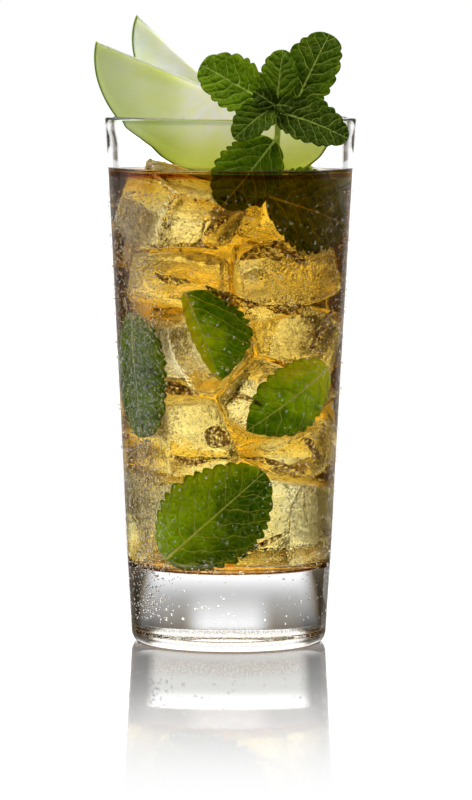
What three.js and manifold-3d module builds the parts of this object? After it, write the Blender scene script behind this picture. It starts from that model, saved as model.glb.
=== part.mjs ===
// A tall glass of amber mojito with two slices of green apple and a sprig of mint.
// Millimetres, +Z up. The origin is the centre of the glass's flat underside, and the
// drink's show side, where the mint hangs over the rim, faces -Y.
import * as THREE from "three";
import { mergeVertices } from "three/addons/utils/BufferGeometryUtils.js";
import Module from "manifold-3d";

const wasm = await Module();
wasm.setup();

// Glass
const GLASS_HEIGHT = 155;
const FOOT_RADIUS = 26.8; // flat part of the underside
const FOOT_ROUND = { radial: 2.1, high: 3.9 };
const WALL_TOP = { radius: 36.8, z: 152.2 }; // where the straight outer wall meets the rim bead
const WALL_THICKNESS = 2.95;
const LIP_THICKNESS = 2.2; // the wall thins towards the mouth
const LIP_START_Z = 145;
const BEAD = { radius: 37.0, low: 153.0, high: 154.1 };
const BASE_THICKNESS = 22.5;
const INNER_ROUND = { radial: 3.6, high: 3.2 };
const AROUND = 56; // facets round the glass and the drink

// Drink
const GAP = 0.3; // clear space between the drink and the glass
const CUT_GAP = 0.45; // how far the drink stands off each piece of garnish
const LEVEL_Z = 139.2;
const MENISCUS = { high: 1.5, wide: 1.9 };

// Apple: half-moon slices cut from a halved apple, skin on the round edge. The round edge is
// part of an ellipse whose centre lies rise above the straight cut, so the tips are pointed.
const SLICE_THICKNESS = 3.6;
const SLICE_EDGE_BEVEL = 0.5;
const SLICES = [
  {
    name: "apple_slice_front",
    centre: [-3.7, -3, 162.4], // middle of the straight cut
    slope: 22.1, // degrees the straight cut falls towards +X
    left: 38.9,
    right: 37.4,
    depth: 24.8,
    rise: 3.2,
    hollow: 0,
  },
  {
    name: "apple_slice_back",
    centre: [1.1, 6.3, 160.4],
    slope: 40.0,
    left: 38.4,
    right: 37.4,
    depth: 18.9,
    rise: 4.1,
    hollow: 1.1, // the core was cut away, so this straight cut sags a little
  },
];

// Mint stem: square in section, as mint is, leaning forward over the rim
const STEM_WIDTH = 2.0;
const STEM_STEPS = 18;
const STEM_ROUTE = [
  [7.2, -21.6, 129.8],
  [9.8, -21.6, 134.4],
  [12.0, -21.8, 139.6],
  [12.9, -23.8, 146.0],
  [13.3, -27.0, 151.0],
  [13.2, -30.6, 155.4],
  [12.8, -33.6, 159.0],
  [12.7, -34.9, 160.3],
];
const BUD = { centre: [13.2, -37.2, 160.1], radii: [1.2, 1.1, 1.3] };

// Mint leaves. Each blade runs from base to tip and looks along facing. bow lifts the middle of
// the midrib, fold lifts the two edges, stalk is the bare length before the blade starts, and
// skew is the share by which one half of the blade is wider, and the other narrower.
const LEAF_THICKNESS = 0.7;
const TOOTH_DEPTH = 0.055; // share of the half width
const BLADE_WIDEST = 0.92; // under 1, the blade is widest nearer its base
const BLADE_ROUNDNESS = 0.5; // smaller is rounder at both ends
const STALK_HALF_WIDTH = 0.45;
const LEAVES = [
  {
    name: "mint_leaf_left",
    base: [10.4, -34.9, 159.8],
    tip: [-8.7, -35.6, 170.8],
    facing: [0.08, -0.99, 0.08],
    width: 15.0,
    bow: 1.2,
    fold: 0.12,
    stalk: 1.5,
    skew: 0,
    teeth: 6,
  },
  {
    name: "mint_leaf_middle",
    base: [13.1, -37.4, 162.0],
    tip: [15.0, -36.0, 174.7],
    facing: [-0.15, -0.97, 0.1],
    width: 10.0,
    bow: 0.8,
    fold: 0.25,
    stalk: 0,
    skew: 0,
    teeth: 5,
  },
  {
    name: "mint_leaf_upper_right",
    base: [18.8, -33.0, 158.4],
    tip: [28.4, -29.4, 179.3],
    facing: [-0.1, -0.96, 0.25],
    width: 15.2,
    bow: 1.2,
    fold: 0.1,
    stalk: 1.2,
    skew: 0,
    teeth: 6,
  },
  {
    name: "mint_leaf_lower_right",
    base: [13.7, -36.2, 156.7],
    tip: [33.5, -39.4, 149.4],
    facing: [0.1, -0.88, 0.42],
    width: 14.6,
    bow: 1.6,
    fold: 0.12,
    stalk: 0.8,
    skew: 0,
    teeth: 6,
  },
  {
    name: "mint_leaf_lower_left",
    base: [12.0, -38.2, 158.0],
    tip: [1.2, -42.0, 149.3],
    facing: [-0.1, -0.85, 0.5],
    width: 9.6,
    bow: 1.0,
    fold: 0.2,
    stalk: 0.6,
    skew: 0,
    teeth: 5,
  },
  {
    name: "mint_bud_leaf_left",
    base: [11.8, -38.9, 159.6],
    tip: [6.7, -40.2, 163.2],
    facing: [-0.1, -0.94, 0.3],
    width: 5.4,
    bow: 0.9,
    fold: 0.2,
    stalk: 0,
    skew: 0,
    teeth: 3,
  },
  {
    name: "mint_bud_leaf_right",
    base: [13.0, -38.9, 158.7],
    tip: [17.6, -40.4, 158.7],
    facing: [0.2, -0.9, 0.35],
    width: 4.6,
    bow: 0.8,
    fold: 0.2,
    stalk: 0,
    skew: 0,
    teeth: 3,
  },
  {
    name: "mint_leaf_dipped",
    base: [13.4, -29.2, 150.0],
    tip: [-2.5, -29.6, 129.8],
    facing: [0.28, -0.96, 0.06],
    width: 19.0,
    bow: 0.4,
    fold: -0.03,
    stalk: 1.6,
    skew: 0.06,
    teeth: 6,
  },
  {
    name: "mint_leaf_floating",
    base: [8.8, -26.0, 133.2],
    tip: [30.1, -4.6, 123.6],
    facing: [0.7, -0.71, 0],
    width: 25.0,
    bow: 3.4,
    fold: 0.02,
    stalk: 1.0,
    skew: 0,
    teeth: 7,
  },
];
const BLADE_STEPS_PER_TOOTH = 3;
const BLADE_STEPS_ACROSS = 4;

// Colours and finishes
const glassFinish = new THREE.MeshStandardMaterial({
  color: 0xeef2f3,
  roughness: 0.03,
  metalness: 0,
  transparent: true,
  opacity: 0.35,
});
const drinkFinish = new THREE.MeshStandardMaterial({
  color: 0xc98a1c,
  roughness: 0.05,
  metalness: 0,
  transparent: true,
  opacity: 0.85,
});
const appleFinish = new THREE.MeshStandardMaterial({
  color: 0xc9d79a,
  roughness: 0.45,
  metalness: 0,
});
const mintFinish = new THREE.MeshStandardMaterial({
  color: 0x2f5a12,
  roughness: 0.55,
  metalness: 0,
});
const stemFinish = new THREE.MeshStandardMaterial({
  color: 0x86993a,
  roughness: 0.5,
  metalness: 0,
});

// Points along a quarter of an ellipse, as [radius, height] pairs, both ends included.
function quarterRound(centre, radii, fromDegrees, steps) {
  const points = [];
  for (let i = 0; i <= steps; i++) {
    const angle = THREE.MathUtils.degToRad(fromDegrees + (90 * i) / steps);
    points.push([
      centre[0] + radii[0] * Math.cos(angle),
      centre[1] + radii[1] * Math.sin(angle),
    ]);
  }
  return points;
}

function outerRadius(z) {
  const foot = FOOT_RADIUS + FOOT_ROUND.radial;
  const share = (z - FOOT_ROUND.high) / (WALL_TOP.z - FOOT_ROUND.high);
  return THREE.MathUtils.lerp(foot, WALL_TOP.radius, share);
}

function innerRadius(z) {
  const thinning = THREE.MathUtils.smoothstep(z, LIP_START_Z, WALL_TOP.z);
  return outerRadius(z) - THREE.MathUtils.lerp(WALL_THICKNESS, LIP_THICKNESS, thinning);
}

// The inside corner from the flat bottom out to the wall, moved in from the glass by gap.
function innerCorner(gap, steps) {
  const z = BASE_THICKNESS + INNER_ROUND.high;
  const centre = [innerRadius(z) - INNER_ROUND.radial, z];
  const radii = [INNER_ROUND.radial - gap, INNER_ROUND.high - gap];
  return quarterRound(centre, radii, -90, steps);
}

// Turns a profile of [radius, height] pairs about the upright axis.
function turned(profile) {
  const points = profile.map(([radius, height]) => new THREE.Vector2(radius, height));
  return new THREE.LatheGeometry(points, AROUND).rotateX(Math.PI / 2);
}

function glassGeometry() {
  const footCentre = [FOOT_RADIUS, FOOT_ROUND.high];
  const beadOut = BEAD.radius - 0.9;
  const beadIn = outerRadius(WALL_TOP.z) - LIP_THICKNESS + 0.8;
  const roundHigh = GLASS_HEIGHT - BEAD.high;
  const wallHeights = [LIP_START_Z, 149];
  const profile = [
    [0, 0],
    ...quarterRound(footCentre, [FOOT_ROUND.radial, FOOT_ROUND.high], -90, 3),
    [WALL_TOP.radius, WALL_TOP.z],
    ...quarterRound([beadOut, BEAD.high], [BEAD.radius - beadOut, roundHigh], 0, 2),
    ...quarterRound([beadIn, BEAD.high], [0.75, roundHigh], 90, 2),
    ...wallHeights.reverse().map((z) => [innerRadius(z), z]),
    ...innerCorner(0, 3).reverse(),
    [0, BASE_THICKNESS],
  ];
  return turned(profile);
}

// A ring a little larger than the glass's lip, to cut what leans on it.
function lipClearanceGeometry() {
  const inner = outerRadius(WALL_TOP.z) - LIP_THICKNESS - GAP;
  const outer = BEAD.radius + GAP;
  const top = GLASS_HEIGHT + GAP;
  return turned([
    [inner, LIP_START_Z],
    [outer, LIP_START_Z],
    [outer, top],
    [inner, top],
    [inner, LIP_START_Z],
  ]);
}

function drinkGeometry() {
  const wallZ = LEVEL_Z + MENISCUS.high;
  const wallRadius = innerRadius(wallZ) - GAP;
  const climb = quarterRound([wallRadius - MENISCUS.wide, wallZ], [MENISCUS.wide, MENISCUS.high], -90, 3);
  const profile = [
    [0, BASE_THICKNESS + GAP],
    ...innerCorner(GAP, 3),
    ...climb.reverse(),
    [0, LEVEL_Z],
  ];
  return turned(profile);
}

// A half-moon on its edge: the straight cut above, the round skin edge below. grow widens it
// all round, for the space that the drink leaves for it.
function sliceGeometry(slice, grow = 0) {
  const bevel = SLICE_EDGE_BEVEL;
  const top = grow - bevel;
  const left = slice.left + top;
  const right = slice.right + top;
  const deep = slice.depth + slice.rise + grow - bevel;
  const tipAngle = Math.asin((slice.rise - top) / deep);
  const outline = new THREE.Shape();
  outline.moveTo(-left * Math.cos(tipAngle), top);
  outline.absellipse(0, slice.rise, left, deep, Math.PI + tipAngle, 1.5 * Math.PI);
  outline.absellipse(0, slice.rise, right, deep, 1.5 * Math.PI, 2 * Math.PI - tipAngle);
  outline.quadraticCurveTo(0, top - 2 * slice.hollow, -left * Math.cos(tipAngle), top);
  const thickness = SLICE_THICKNESS + 2 * grow;
  const geometry = new THREE.ExtrudeGeometry(outline, {
    depth: thickness - 2 * bevel,
    bevelThickness: bevel,
    bevelSize: bevel,
    bevelSegments: 1,
    curveSegments: 14,
  });
  return geometry.translate(0, 0, -thickness / 2 + bevel).rotateX(Math.PI / 2);
}

// Half the blade's width at a share of the way from base to tip, as a share of its widest.
function bladeOutline(share) {
  return Math.sin(Math.PI * share ** BLADE_WIDEST) ** BLADE_ROUNDNESS;
}

// A thin closed leaf. Rows of points run across the midrib from base to tip, once on each face.
function leafGeometry(leaf, grow = 0) {
  const base = new THREE.Vector3(...leaf.base);
  const along = new THREE.Vector3(...leaf.tip).sub(base);
  const length = along.length();
  along.normalize();
  const across = new THREE.Vector3().crossVectors(along, new THREE.Vector3(...leaf.facing)).normalize();
  const up = new THREE.Vector3().crossVectors(across, along);
  const rows = leaf.teeth * BLADE_STEPS_PER_TOOTH;
  const columns = BLADE_STEPS_ACROSS;
  const half = LEAF_THICKNESS / 2 + grow;
  const positions = [];
  for (const side of [1, -1]) {
    for (let row = 0; row <= rows; row++) {
      const share = row / rows;
      const blade = Math.max(0, (share * length - leaf.stalk) / (length - leaf.stalk));
      const tooth = 1 - TOOTH_DEPTH * ((row % BLADE_STEPS_PER_TOOTH) / (BLADE_STEPS_PER_TOOTH - 1));
      const halfWidth = Math.max(STALK_HALF_WIDTH, (leaf.width / 2) * bladeOutline(blade) * tooth) + grow;
      const run = share * (length + 2 * grow) - grow;
      for (let column = 0; column <= columns; column++) {
        const place = (2 * column) / columns - 1;
        const aside = halfWidth * place * (1 + leaf.skew * Math.sign(place));
        const lift = leaf.bow * 4 * share * (1 - share) + leaf.fold * Math.abs(aside) + side * half;
        const point = base.clone().addScaledVector(along, run);
        point.addScaledVector(across, aside).addScaledVector(up, lift);
        positions.push(point.x, point.y, point.z);
      }
    }
  }
  const geometry = new THREE.BufferGeometry();
  geometry.setAttribute("position", new THREE.Float32BufferAttribute(positions, 3));
  geometry.setIndex(sheetFaces(rows, columns));
  return geometry;
}

// Faces of a closed sheet: the front grid, the back grid turned round, and the rim between them.
function sheetFaces(rows, columns) {
  const faces = [];
  const back = (rows + 1) * (columns + 1);
  const at = (row, column) => row * (columns + 1) + column;
  const quad = (a, b, c, d) => faces.push(a, b, c, a, c, d);
  for (let row = 0; row < rows; row++) {
    for (let column = 0; column < columns; column++) {
      const [a, b] = [at(row, column), at(row + 1, column)];
      const [c, d] = [at(row + 1, column + 1), at(row, column + 1)];
      quad(a, d, c, b);
      quad(back + a, back + b, back + c, back + d);
    }
    quad(at(row, 0), at(row + 1, 0), back + at(row + 1, 0), back + at(row, 0));
    quad(at(row + 1, columns), at(row, columns), back + at(row, columns), back + at(row + 1, columns));
  }
  for (let column = 0; column < columns; column++) {
    quad(at(0, column + 1), at(0, column), back + at(0, column), back + at(0, column + 1));
    quad(at(rows, column), at(rows, column + 1), back + at(rows, column + 1), back + at(rows, column));
  }
  return faces;
}

function stemGeometry(grow = 0) {
  const half = STEM_WIDTH / 2 + grow;
  const corner = 0.35 * half;
  const section = new THREE.Shape();
  section.moveTo(-half, -half + corner);
  section.lineTo(-half, half - corner);
  section.lineTo(-half + corner, half);
  section.lineTo(half - corner, half);
  section.lineTo(half, half - corner);
  section.lineTo(half, -half + corner);
  section.lineTo(half - corner, -half);
  section.lineTo(-half + corner, -half);
  section.closePath();
  const points = STEM_ROUTE.map((point) => new THREE.Vector3(...point));
  const rootwards = points[0].clone().sub(points[1]).normalize();
  points[0].addScaledVector(rootwards, grow);
  const route = new THREE.CatmullRomCurve3(points);
  return new THREE.ExtrudeGeometry(section, { steps: STEM_STEPS, extrudePath: route });
}

function budGeometry() {
  const geometry = new THREE.IcosahedronGeometry(1, 2);
  return geometry.scale(...BUD.radii).translate(...BUD.centre);
}

// A closed mesh as a solid that can be cut, with its own place applied.
function solidOf(geometry, matrix = new THREE.Matrix4()) {
  const plain = geometry.clone().applyMatrix4(matrix);
  plain.deleteAttribute("normal");
  plain.deleteAttribute("uv");
  const merged = mergeVertices(plain, 1e-4);
  return new wasm.Manifold(
    new wasm.Mesh({
      numProp: 3,
      vertProperties: merged.attributes.position.array,
      triVerts: new Uint32Array(merged.index.array),
    }),
  );
}

function geometryOf(solid) {
  const mesh = solid.getMesh();
  const geometry = new THREE.BufferGeometry();
  geometry.setAttribute("position", new THREE.BufferAttribute(mesh.vertProperties, 3));
  geometry.setIndex(new THREE.BufferAttribute(mesh.triVerts, 1));
  geometry.computeVertexNormals();
  return geometry;
}

// Where a slice stands: its straight cut turned down towards +X by its slope.
function slicePlace(slice) {
  const turn = new THREE.Matrix4().makeRotationY(THREE.MathUtils.degToRad(slice.slope));
  return turn.setPosition(...slice.centre);
}

const part = new THREE.Group();

function add(parent, name, geometry, finish) {
  const mesh = new THREE.Mesh(geometry, finish);
  mesh.name = name;
  parent.add(mesh);
  return mesh;
}

add(part, "glass", glassGeometry(), glassFinish);

const apple = new THREE.Group();
part.add(apple);
// The lip presses a small notch into the skin of the slice that leans on it.
for (const slice of SLICES) {
  const place = slicePlace(slice);
  const lip = solidOf(lipClearanceGeometry(), place.clone().invert());
  const notched = solidOf(sliceGeometry(slice)).subtract(lip);
  const mesh = add(apple, slice.name, geometryOf(notched), appleFinish);
  mesh.applyMatrix4(place);
}

const mint = new THREE.Group();
part.add(mint);
add(mint, "mint_stem", stemGeometry(), stemFinish);
add(mint, "mint_bud", budGeometry(), mintFinish);
for (const leaf of LEAVES) {
  const geometry = leafGeometry(leaf);
  geometry.computeVertexNormals();
  add(mint, leaf.name, geometry, mintFinish);
}

// The drink is cut round each piece of garnish that reaches below its surface.
let drink = solidOf(drinkGeometry());
for (const slice of SLICES) {
  drink = drink.subtract(solidOf(sliceGeometry(slice, CUT_GAP), slicePlace(slice)));
}
drink = drink.subtract(solidOf(stemGeometry(CUT_GAP)));
for (const leaf of LEAVES.filter((each) => each.tip[2] < LEVEL_Z)) {
  drink = drink.subtract(solidOf(leafGeometry(leaf, CUT_GAP)));
}
add(part, "drink", geometryOf(drink), drinkFinish);

export default part;
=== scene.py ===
"""A tall glass of iced amber mojito with green apple slices and a sprig of mint.

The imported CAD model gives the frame. Sizes are in metres, +Z is up and the show side faces -Y.
"""

import math
from dataclasses import dataclass

import bmesh
import bpy
import numpy as np
from bpy.props import FloatProperty, FloatVectorProperty, IntProperty, PointerProperty
from mathutils import Euler, Matrix, Vector, noise
from mathutils.bvhtree import BVHTree


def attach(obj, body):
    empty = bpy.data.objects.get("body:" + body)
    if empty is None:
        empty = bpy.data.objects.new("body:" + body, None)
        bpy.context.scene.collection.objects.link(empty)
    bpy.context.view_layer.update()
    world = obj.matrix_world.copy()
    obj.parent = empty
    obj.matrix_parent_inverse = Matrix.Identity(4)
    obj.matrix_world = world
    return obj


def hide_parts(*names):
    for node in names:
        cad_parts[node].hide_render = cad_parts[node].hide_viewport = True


bl_info = {
    "name": "Mojito Cocktail",
    "version": (1, 0, 0),
    "blender": (4, 5, 0),
    "location": "View3D > Sidebar > Mojito",
    "description": "Builds a tall iced drink with apple slices, mint and dew round its CAD frame",
    "category": "Object",
}

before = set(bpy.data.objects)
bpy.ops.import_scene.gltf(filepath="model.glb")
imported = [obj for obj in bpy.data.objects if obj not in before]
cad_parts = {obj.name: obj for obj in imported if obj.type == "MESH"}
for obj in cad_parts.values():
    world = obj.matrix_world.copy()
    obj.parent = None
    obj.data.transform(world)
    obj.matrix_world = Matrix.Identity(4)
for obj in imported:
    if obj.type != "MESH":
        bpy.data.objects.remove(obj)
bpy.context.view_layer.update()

MM = 0.001
BODY = "root"

# Glass
FOOT_ROUND = (0.0021, 0.0039)
WALL_TOP = (0.0368, 0.1522)
LIP_START = 0.145
BEAD_RADIUS = 0.0370
BEAD_HIGH = 0.1541
BEAD_ROUND = 0.0009
LIP_INSET = 0.0008
LIP_ROUND = 0.00075
INNER_ROUND = (0.0036, 0.0032)
DRINK_FACETS = 224
MERGE_WITHIN = 1e-7

# Where a drink fills a glass, each reaches this far into the other, so that no air lies between
INTO_WALL = 0.0001
FLOOR_OF_DRINK = 0.0225
ICE_SKIN = 0.00005
# Where the drink wets the garnish it rises this far, and falls off over this distance
WET_RISE = 0.0009
WET_REACH = 0.0008
# Close rows of points down from the drink's sharp upper edge keep its shading crisp
EDGE_DROPS = (0.0007, 0.0003, 0.0001, 0.0)

# Camera, found from the ellipses of the rim and the foot
PICTURE_HEIGHT = 800
FOCAL_PIXELS = 4703
SENSOR = 36.0
CAMERA_PLACE = (0.0, -1.384, 0.18568)
CAMERA_PITCH = math.radians(4.72)
CAMERA_YAW = math.radians(0.079)
CAMERA_ROLL = math.radians(0.22)

# How much of the light beside the glass its mirror images lose, so that the wall's edges look dark
MIRROR_LOSS = 0.85
# Where parts of the surroundings begin or end, as angles from straight behind the glass
DIMMER_FROM = (math.radians(8), math.radians(20))
BACK_ENDS = (math.radians(21), math.radians(36))
BACK_WIDENS = math.radians(12)
STRIP_BEGINS = (math.radians(78), math.radians(82))
STRIP_ENDS = (math.radians(90), math.radians(94))
FRONT_BEGINS = (math.radians(100), math.radians(150))
STRIP_GLOW = 0.45
# How far from the glass the floor's mirror begins to fade and is gone
MIRROR_FADES = (0.03, 0.28)
# The panel at the left: its middle, the point that it faces, its width and height
SOFTBOX_PLACE = (-0.30, 0.08, 0.24)
SOFTBOX_AIM = (0.0, 0.08, 0.24)
SOFTBOX_SIZE = (0.22, 0.48)
FLOOR_RADIUS = 4.0
FLOOR_DROP = 0.00004
# Half the width of the clear base's mirror image, and where that image ends in front
BASE_IMAGE = 0.0262
BASE_IMAGE_END = 0.1

# Tints
WHITE = (1.0, 1.0, 1.0, 1.0)
WARM = (1.0, 0.78, 0.5, 1.0)
BASE_IMAGE_PAINTED_SHADE = (0.31, 0.305, 0.29, 1.0)
FOOT_PAINTED_SHADE = (0.66, 0.65, 0.63, 1.0)
ALMOST_CLEAR = (0.98, 0.987, 0.985, 1.0)
FOOT_GLEAM = (0.42, 0.28, 0.15, 1.0)
FOOT_PAINTED_SHADOW = (0.4, 0.26, 0.15, 1.0)
LIP_GREEN = (0.7, 0.78, 0.66, 1.0)
LOW_DRINK = (1.0, 0.99, 0.87, 1.0)
MENISCUS_PAINTED_SHADE = (0.62, 0.22, 0.07, 1.0)
SWIRL_BROWN = (0.3, 0.14, 0.035, 1.0)
SPECK_PAINTED_SHADE = (0.22, 0.12, 0.04, 1.0)
SEAM_PAINTED_SHADE = (0.14, 0.07, 0.02, 1.0)
MINT_PAINTED_DRINK_SHADE = (1.08, 0.49, 0.03, 1.0)
STREAK_GREEN = (0.76, 0.83, 0.3, 1.0)
FLESH_NEAR_SKIN = (0.76, 0.83, 0.44, 1.0)
CUT_PAINTED_SHADE = (0.3, 0.32, 0.26, 1.0)


def mix(first, second, share):
    return first + (second - first) * share


def smooth_step(value, low, high):
    """0 below low, 1 above high, and a smooth climb between. Works on numbers and arrays."""
    share = np.clip((value - low) / (high - low), 0.0, 1.0)
    return share * share * (3.0 - 2.0 * share)


# Node helpers


class Value:
    """The output of a node. Arithmetic on it adds Math nodes to its tree."""

    def __init__(self, nodes, socket):
        self.nodes = nodes
        self.socket = socket

    def other(self, output):
        """Another output of the same node."""
        return Value(self.nodes, self.socket.node.outputs[output])

    def __add__(self, other):
        return self.nodes.maths("ADD", self, other)

    def __radd__(self, other):
        return self.nodes.maths("ADD", other, self)

    def __sub__(self, other):
        return self.nodes.maths("SUBTRACT", self, other)

    def __rsub__(self, other):
        return self.nodes.maths("SUBTRACT", other, self)

    def __mul__(self, other):
        return self.nodes.maths("MULTIPLY", self, other)

    def __rmul__(self, other):
        return self.nodes.maths("MULTIPLY", other, self)

    def __truediv__(self, other):
        return self.nodes.maths("DIVIDE", self, other)

    def __rtruediv__(self, other):
        return self.nodes.maths("DIVIDE", other, self)

    def __pow__(self, other):
        return self.nodes.maths("POWER", self, other)

    def ranged(self, low, high, to_low=0.0, to_high=1.0):
        """A smooth climb from to_low at low to to_high at high."""
        limits = {"From Min": low, "From Max": high, "To Min": to_low, "To Max": to_high}
        return self.nodes.node(
            "ShaderNodeMapRange",
            {"interpolation_type": "SMOOTHSTEP"},
            {"Value": self, **limits},
        )


class Nodes:
    """Adds nodes to one tree, of a material, a world or geometry."""

    def __init__(self, tree):
        self.tree = tree

    def fill(self, socket, value):
        if isinstance(value, Value):
            self.tree.links.new(value.socket, socket)
        elif value is not None:
            socket.default_value = value

    def node(self, kind, settings=None, sockets=None, output=0):
        """One node: its settings first, then its sockets, from numbers or from other nodes."""
        made = self.tree.nodes.new(kind)
        for name, value in (settings or {}).items():
            setattr(made, name, value)
        for name, value in (sockets or {}).items():
            self.fill(made.inputs[name], value)
        return Value(self, made.outputs[output]) if made.outputs else made

    def maths(self, operation, *values):
        sockets = dict(enumerate(values))
        return self.node("ShaderNodeMath", {"operation": operation}, sockets)

    def mixed(self, share, first, second, blend="MIX"):
        """A colour between two colours."""
        settings = {"data_type": "RGBA", "blend_type": blend}
        return self.node("ShaderNodeMix", settings, {0: share, 6: first, 7: second}, output=2)

    def noise(self, where, scale, detail=2.0, roughness=0.5):
        sockets = {"Vector": where, "Scale": scale, "Detail": detail, "Roughness": roughness}
        return self.node("ShaderNodeTexNoise", None, sockets)

    def bump(self, height, strength, distance):
        sockets = {"Height": height, "Strength": strength, "Distance": distance}
        return self.node("ShaderNodeBump", None, sockets)

    def axes(self, where):
        """The X, Y and Z of a place or a direction."""
        x = self.node("ShaderNodeSeparateXYZ", None, {0: where}, "X")
        return x, x.other("Y"), x.other("Z")

    def drawn(self, low, high, seed=None):
        """A random number for each point."""
        sockets = {2: low, 3: high, "Seed": seed}
        return self.node("FunctionNodeRandomValue", {"data_type": "FLOAT"}, sockets, 1)

    def dimmed(self, aside, start, full):
        """Whether the camera sees the light itself, and how much is left of it: less in a mirror
        image, from start to full, where the wall's edges would show it too bright."""
        seen = self.node("ShaderNodeLightPath", output="Is Camera Ray")
        mirrored = seen.other("Is Reflection Ray") * (1 - seen.other("Is Diffuse Ray"))
        return seen, 1 - mirrored * aside.ranged(start, full, 0.0, MIRROR_LOSS)


class Finish(Nodes):
    """A material made of nodes."""

    def __init__(self, name):
        self.material = bpy.data.materials.new(name)
        self.material.use_nodes = True
        self.material.node_tree.nodes.clear()
        super().__init__(self.material.node_tree)

    def where(self, kind="Object"):
        return self.node("ShaderNodeTexCoord", output=kind)

    def attribute(self, name):
        return self.node("ShaderNodeAttribute", {"attribute_name": name}, output="Fac")

    def done(self, surface, volume=None):
        self.node("ShaderNodeOutputMaterial", None, {"Surface": surface, "Volume": volume})
        return self.material

    def principled(self, **sockets):
        named = {name.replace("_", " "): value for name, value in sockets.items()}
        return self.node("ShaderNodeBsdfPrincipled", None, named)

    def clear(self, colour, bending, normal=None):
        """A polished surface that bends the light which passes through it."""
        return self.principled(
            Base_Color=colour, Roughness=0.0, IOR=bending, Transmission_Weight=1.0, Normal=normal
        )


def rgba(colour, strength=1.0):
    return (colour[0] * strength, colour[1] * strength, colour[2] * strength, 1.0)


# Geometry Nodes trees


def new_tree(name, inputs):
    """A tree with the named inputs. Returns its nodes and its first input."""
    tree = bpy.data.node_groups.new(name, "GeometryNodeTree")
    for label, kind in inputs.items():
        tree.interface.new_socket(name=label, in_out="INPUT", socket_type=f"NodeSocket{kind}")
    tree.interface.new_socket(name="Geometry", in_out="OUTPUT", socket_type="NodeSocketGeometry")
    nodes = Nodes(tree)
    return nodes, nodes.node("NodeGroupInput", output=next(iter(inputs)))


def end_tree(nodes, given, shape):
    """Makes the shape real, gives it its material and ends the tree with it."""
    shape = nodes.node("GeometryNodeRealizeInstances", None, {"Geometry": shape})
    sockets = {"Geometry": shape, "Material": given.other("Material")}
    shape = nodes.node("GeometryNodeSetMaterial", None, sockets)
    nodes.node("NodeGroupOutput", None, {"Geometry": shape})
    return nodes.tree


def scattered_points(nodes, given, crowd):
    """Points strewn over the object's own faces."""
    sockets = {"Mesh": given, "Density": crowd, "Seed": given.other("Seed")}
    settings = {"distribute_method": "RANDOM"}
    return nodes.node("GeometryNodeDistributePointsOnFaces", settings, sockets, "Points")


def set_on(nodes, points, turns, segments, scale):
    """A small smooth ball with few faces on each point, turned and scaled."""
    sockets = {"Segments": segments, "Rings": BALL_RINGS, "Radius": 1.0}
    ball = nodes.node("GeometryNodeMeshUVSphere", None, sockets)
    ball = nodes.node("GeometryNodeSetShadeSmooth", None, {"Geometry": ball})
    sockets = {"Points": points, "Instance": ball, "Rotation": turns, "Scale": scale}
    return nodes.node("GeometryNodeInstanceOnPoints", None, sockets)


def grow_by_nodes(made, tree, inputs):
    """Runs a Geometry Nodes tree on an object with the named inputs, and keeps the plain mesh."""
    modifier = made.modifiers.new(tree.name, "NODES")
    modifier.node_group = tree
    for item in tree.interface.items_tree:
        if item.in_out == "INPUT" and item.name in inputs:
            modifier[item.identifier] = inputs[item.name]
    return baked(made)


# Mesh helpers


def mesh_from(name, points, faces, finish=None):
    """A smooth mesh from an array of points and the corner numbers of each face."""
    mesh = bpy.data.meshes.new(name)
    mesh.from_pydata(points.tolist(), [], [list(face) for face in faces])
    mesh.shade_smooth()
    if finish:
        mesh.materials.append(finish)
    return mesh


def line_mesh(name, points):
    """A mesh of edges only, from point to point."""
    mesh = bpy.data.meshes.new(name)
    mesh.from_pydata(points, [(i, i + 1) for i in range(len(points) - 1)], [])
    return mesh


def mesh_of(shape, name):
    """A new mesh from a bmesh, which is freed."""
    mesh = bpy.data.meshes.new(name)
    shape.to_mesh(mesh)
    shape.free()
    return mesh


def faces_of(mesh):
    return [tuple(face.vertices) for face in mesh.polygons]


class Heap:
    """Gathers closed shapes into one mesh, with one number for each of their points."""

    def __init__(self):
        self.points = []
        self.faces = []
        self.numbers = []
        self.count = 0

    def add(self, points, faces, numbers=None):
        self.faces += [tuple(corner + self.count for corner in face) for face in faces]
        self.points.append(points)
        self.numbers.append(np.zeros(len(points)) if numbers is None else numbers)
        self.count += len(points)

    def piece(self, name, finish, slot, *nodes, field=None):
        """Adds the finished piece to the scene. field is the attribute with the numbers."""
        mesh = mesh_from(name, np.concatenate(self.points), self.faces, finish)
        if field:
            add_attribute(mesh, field, np.concatenate(self.numbers))
        finish_piece(add_object(name, mesh), slot, *nodes)


def add_object(name, mesh):
    made = bpy.data.objects.new(name, mesh)
    bpy.context.scene.collection.objects.link(made)
    return made


def finish_piece(piece, slot, *nodes):
    """The piece rides with the glass and stands for the named CAD nodes. slot is not used."""
    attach(piece, BODY)
    if nodes:
        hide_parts(*nodes)


def baked(made):
    """Turns an object's modifiers into its plain mesh."""
    graph = bpy.context.evaluated_depsgraph_get()
    mesh = bpy.data.meshes.new_from_object(made.evaluated_get(graph))
    made.modifiers.clear()
    made.data = mesh
    return mesh


def face_outwards(mesh):
    """Turns every face round if the closed mesh is inside out."""
    shape = bmesh.new()
    shape.from_mesh(mesh)
    if shape.calc_volume(signed=True) < 0:
        bmesh.ops.reverse_faces(shape, faces=shape.faces[:])
    shape.to_mesh(mesh)
    shape.free()


def points_of(mesh):
    points = np.empty(len(mesh.vertices) * 3)
    mesh.vertices.foreach_get("co", points)
    return points.reshape(-1, 3)


def normals_of(mesh):
    normals = np.empty(len(mesh.vertices) * 3, np.float32)
    mesh.vertex_normals.foreach_get("vector", normals)
    return normals.reshape(-1, 3).astype(float)


def move_points(mesh, points):
    mesh.vertices.foreach_set("co", np.asarray(points).ravel())
    mesh.update()


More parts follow.
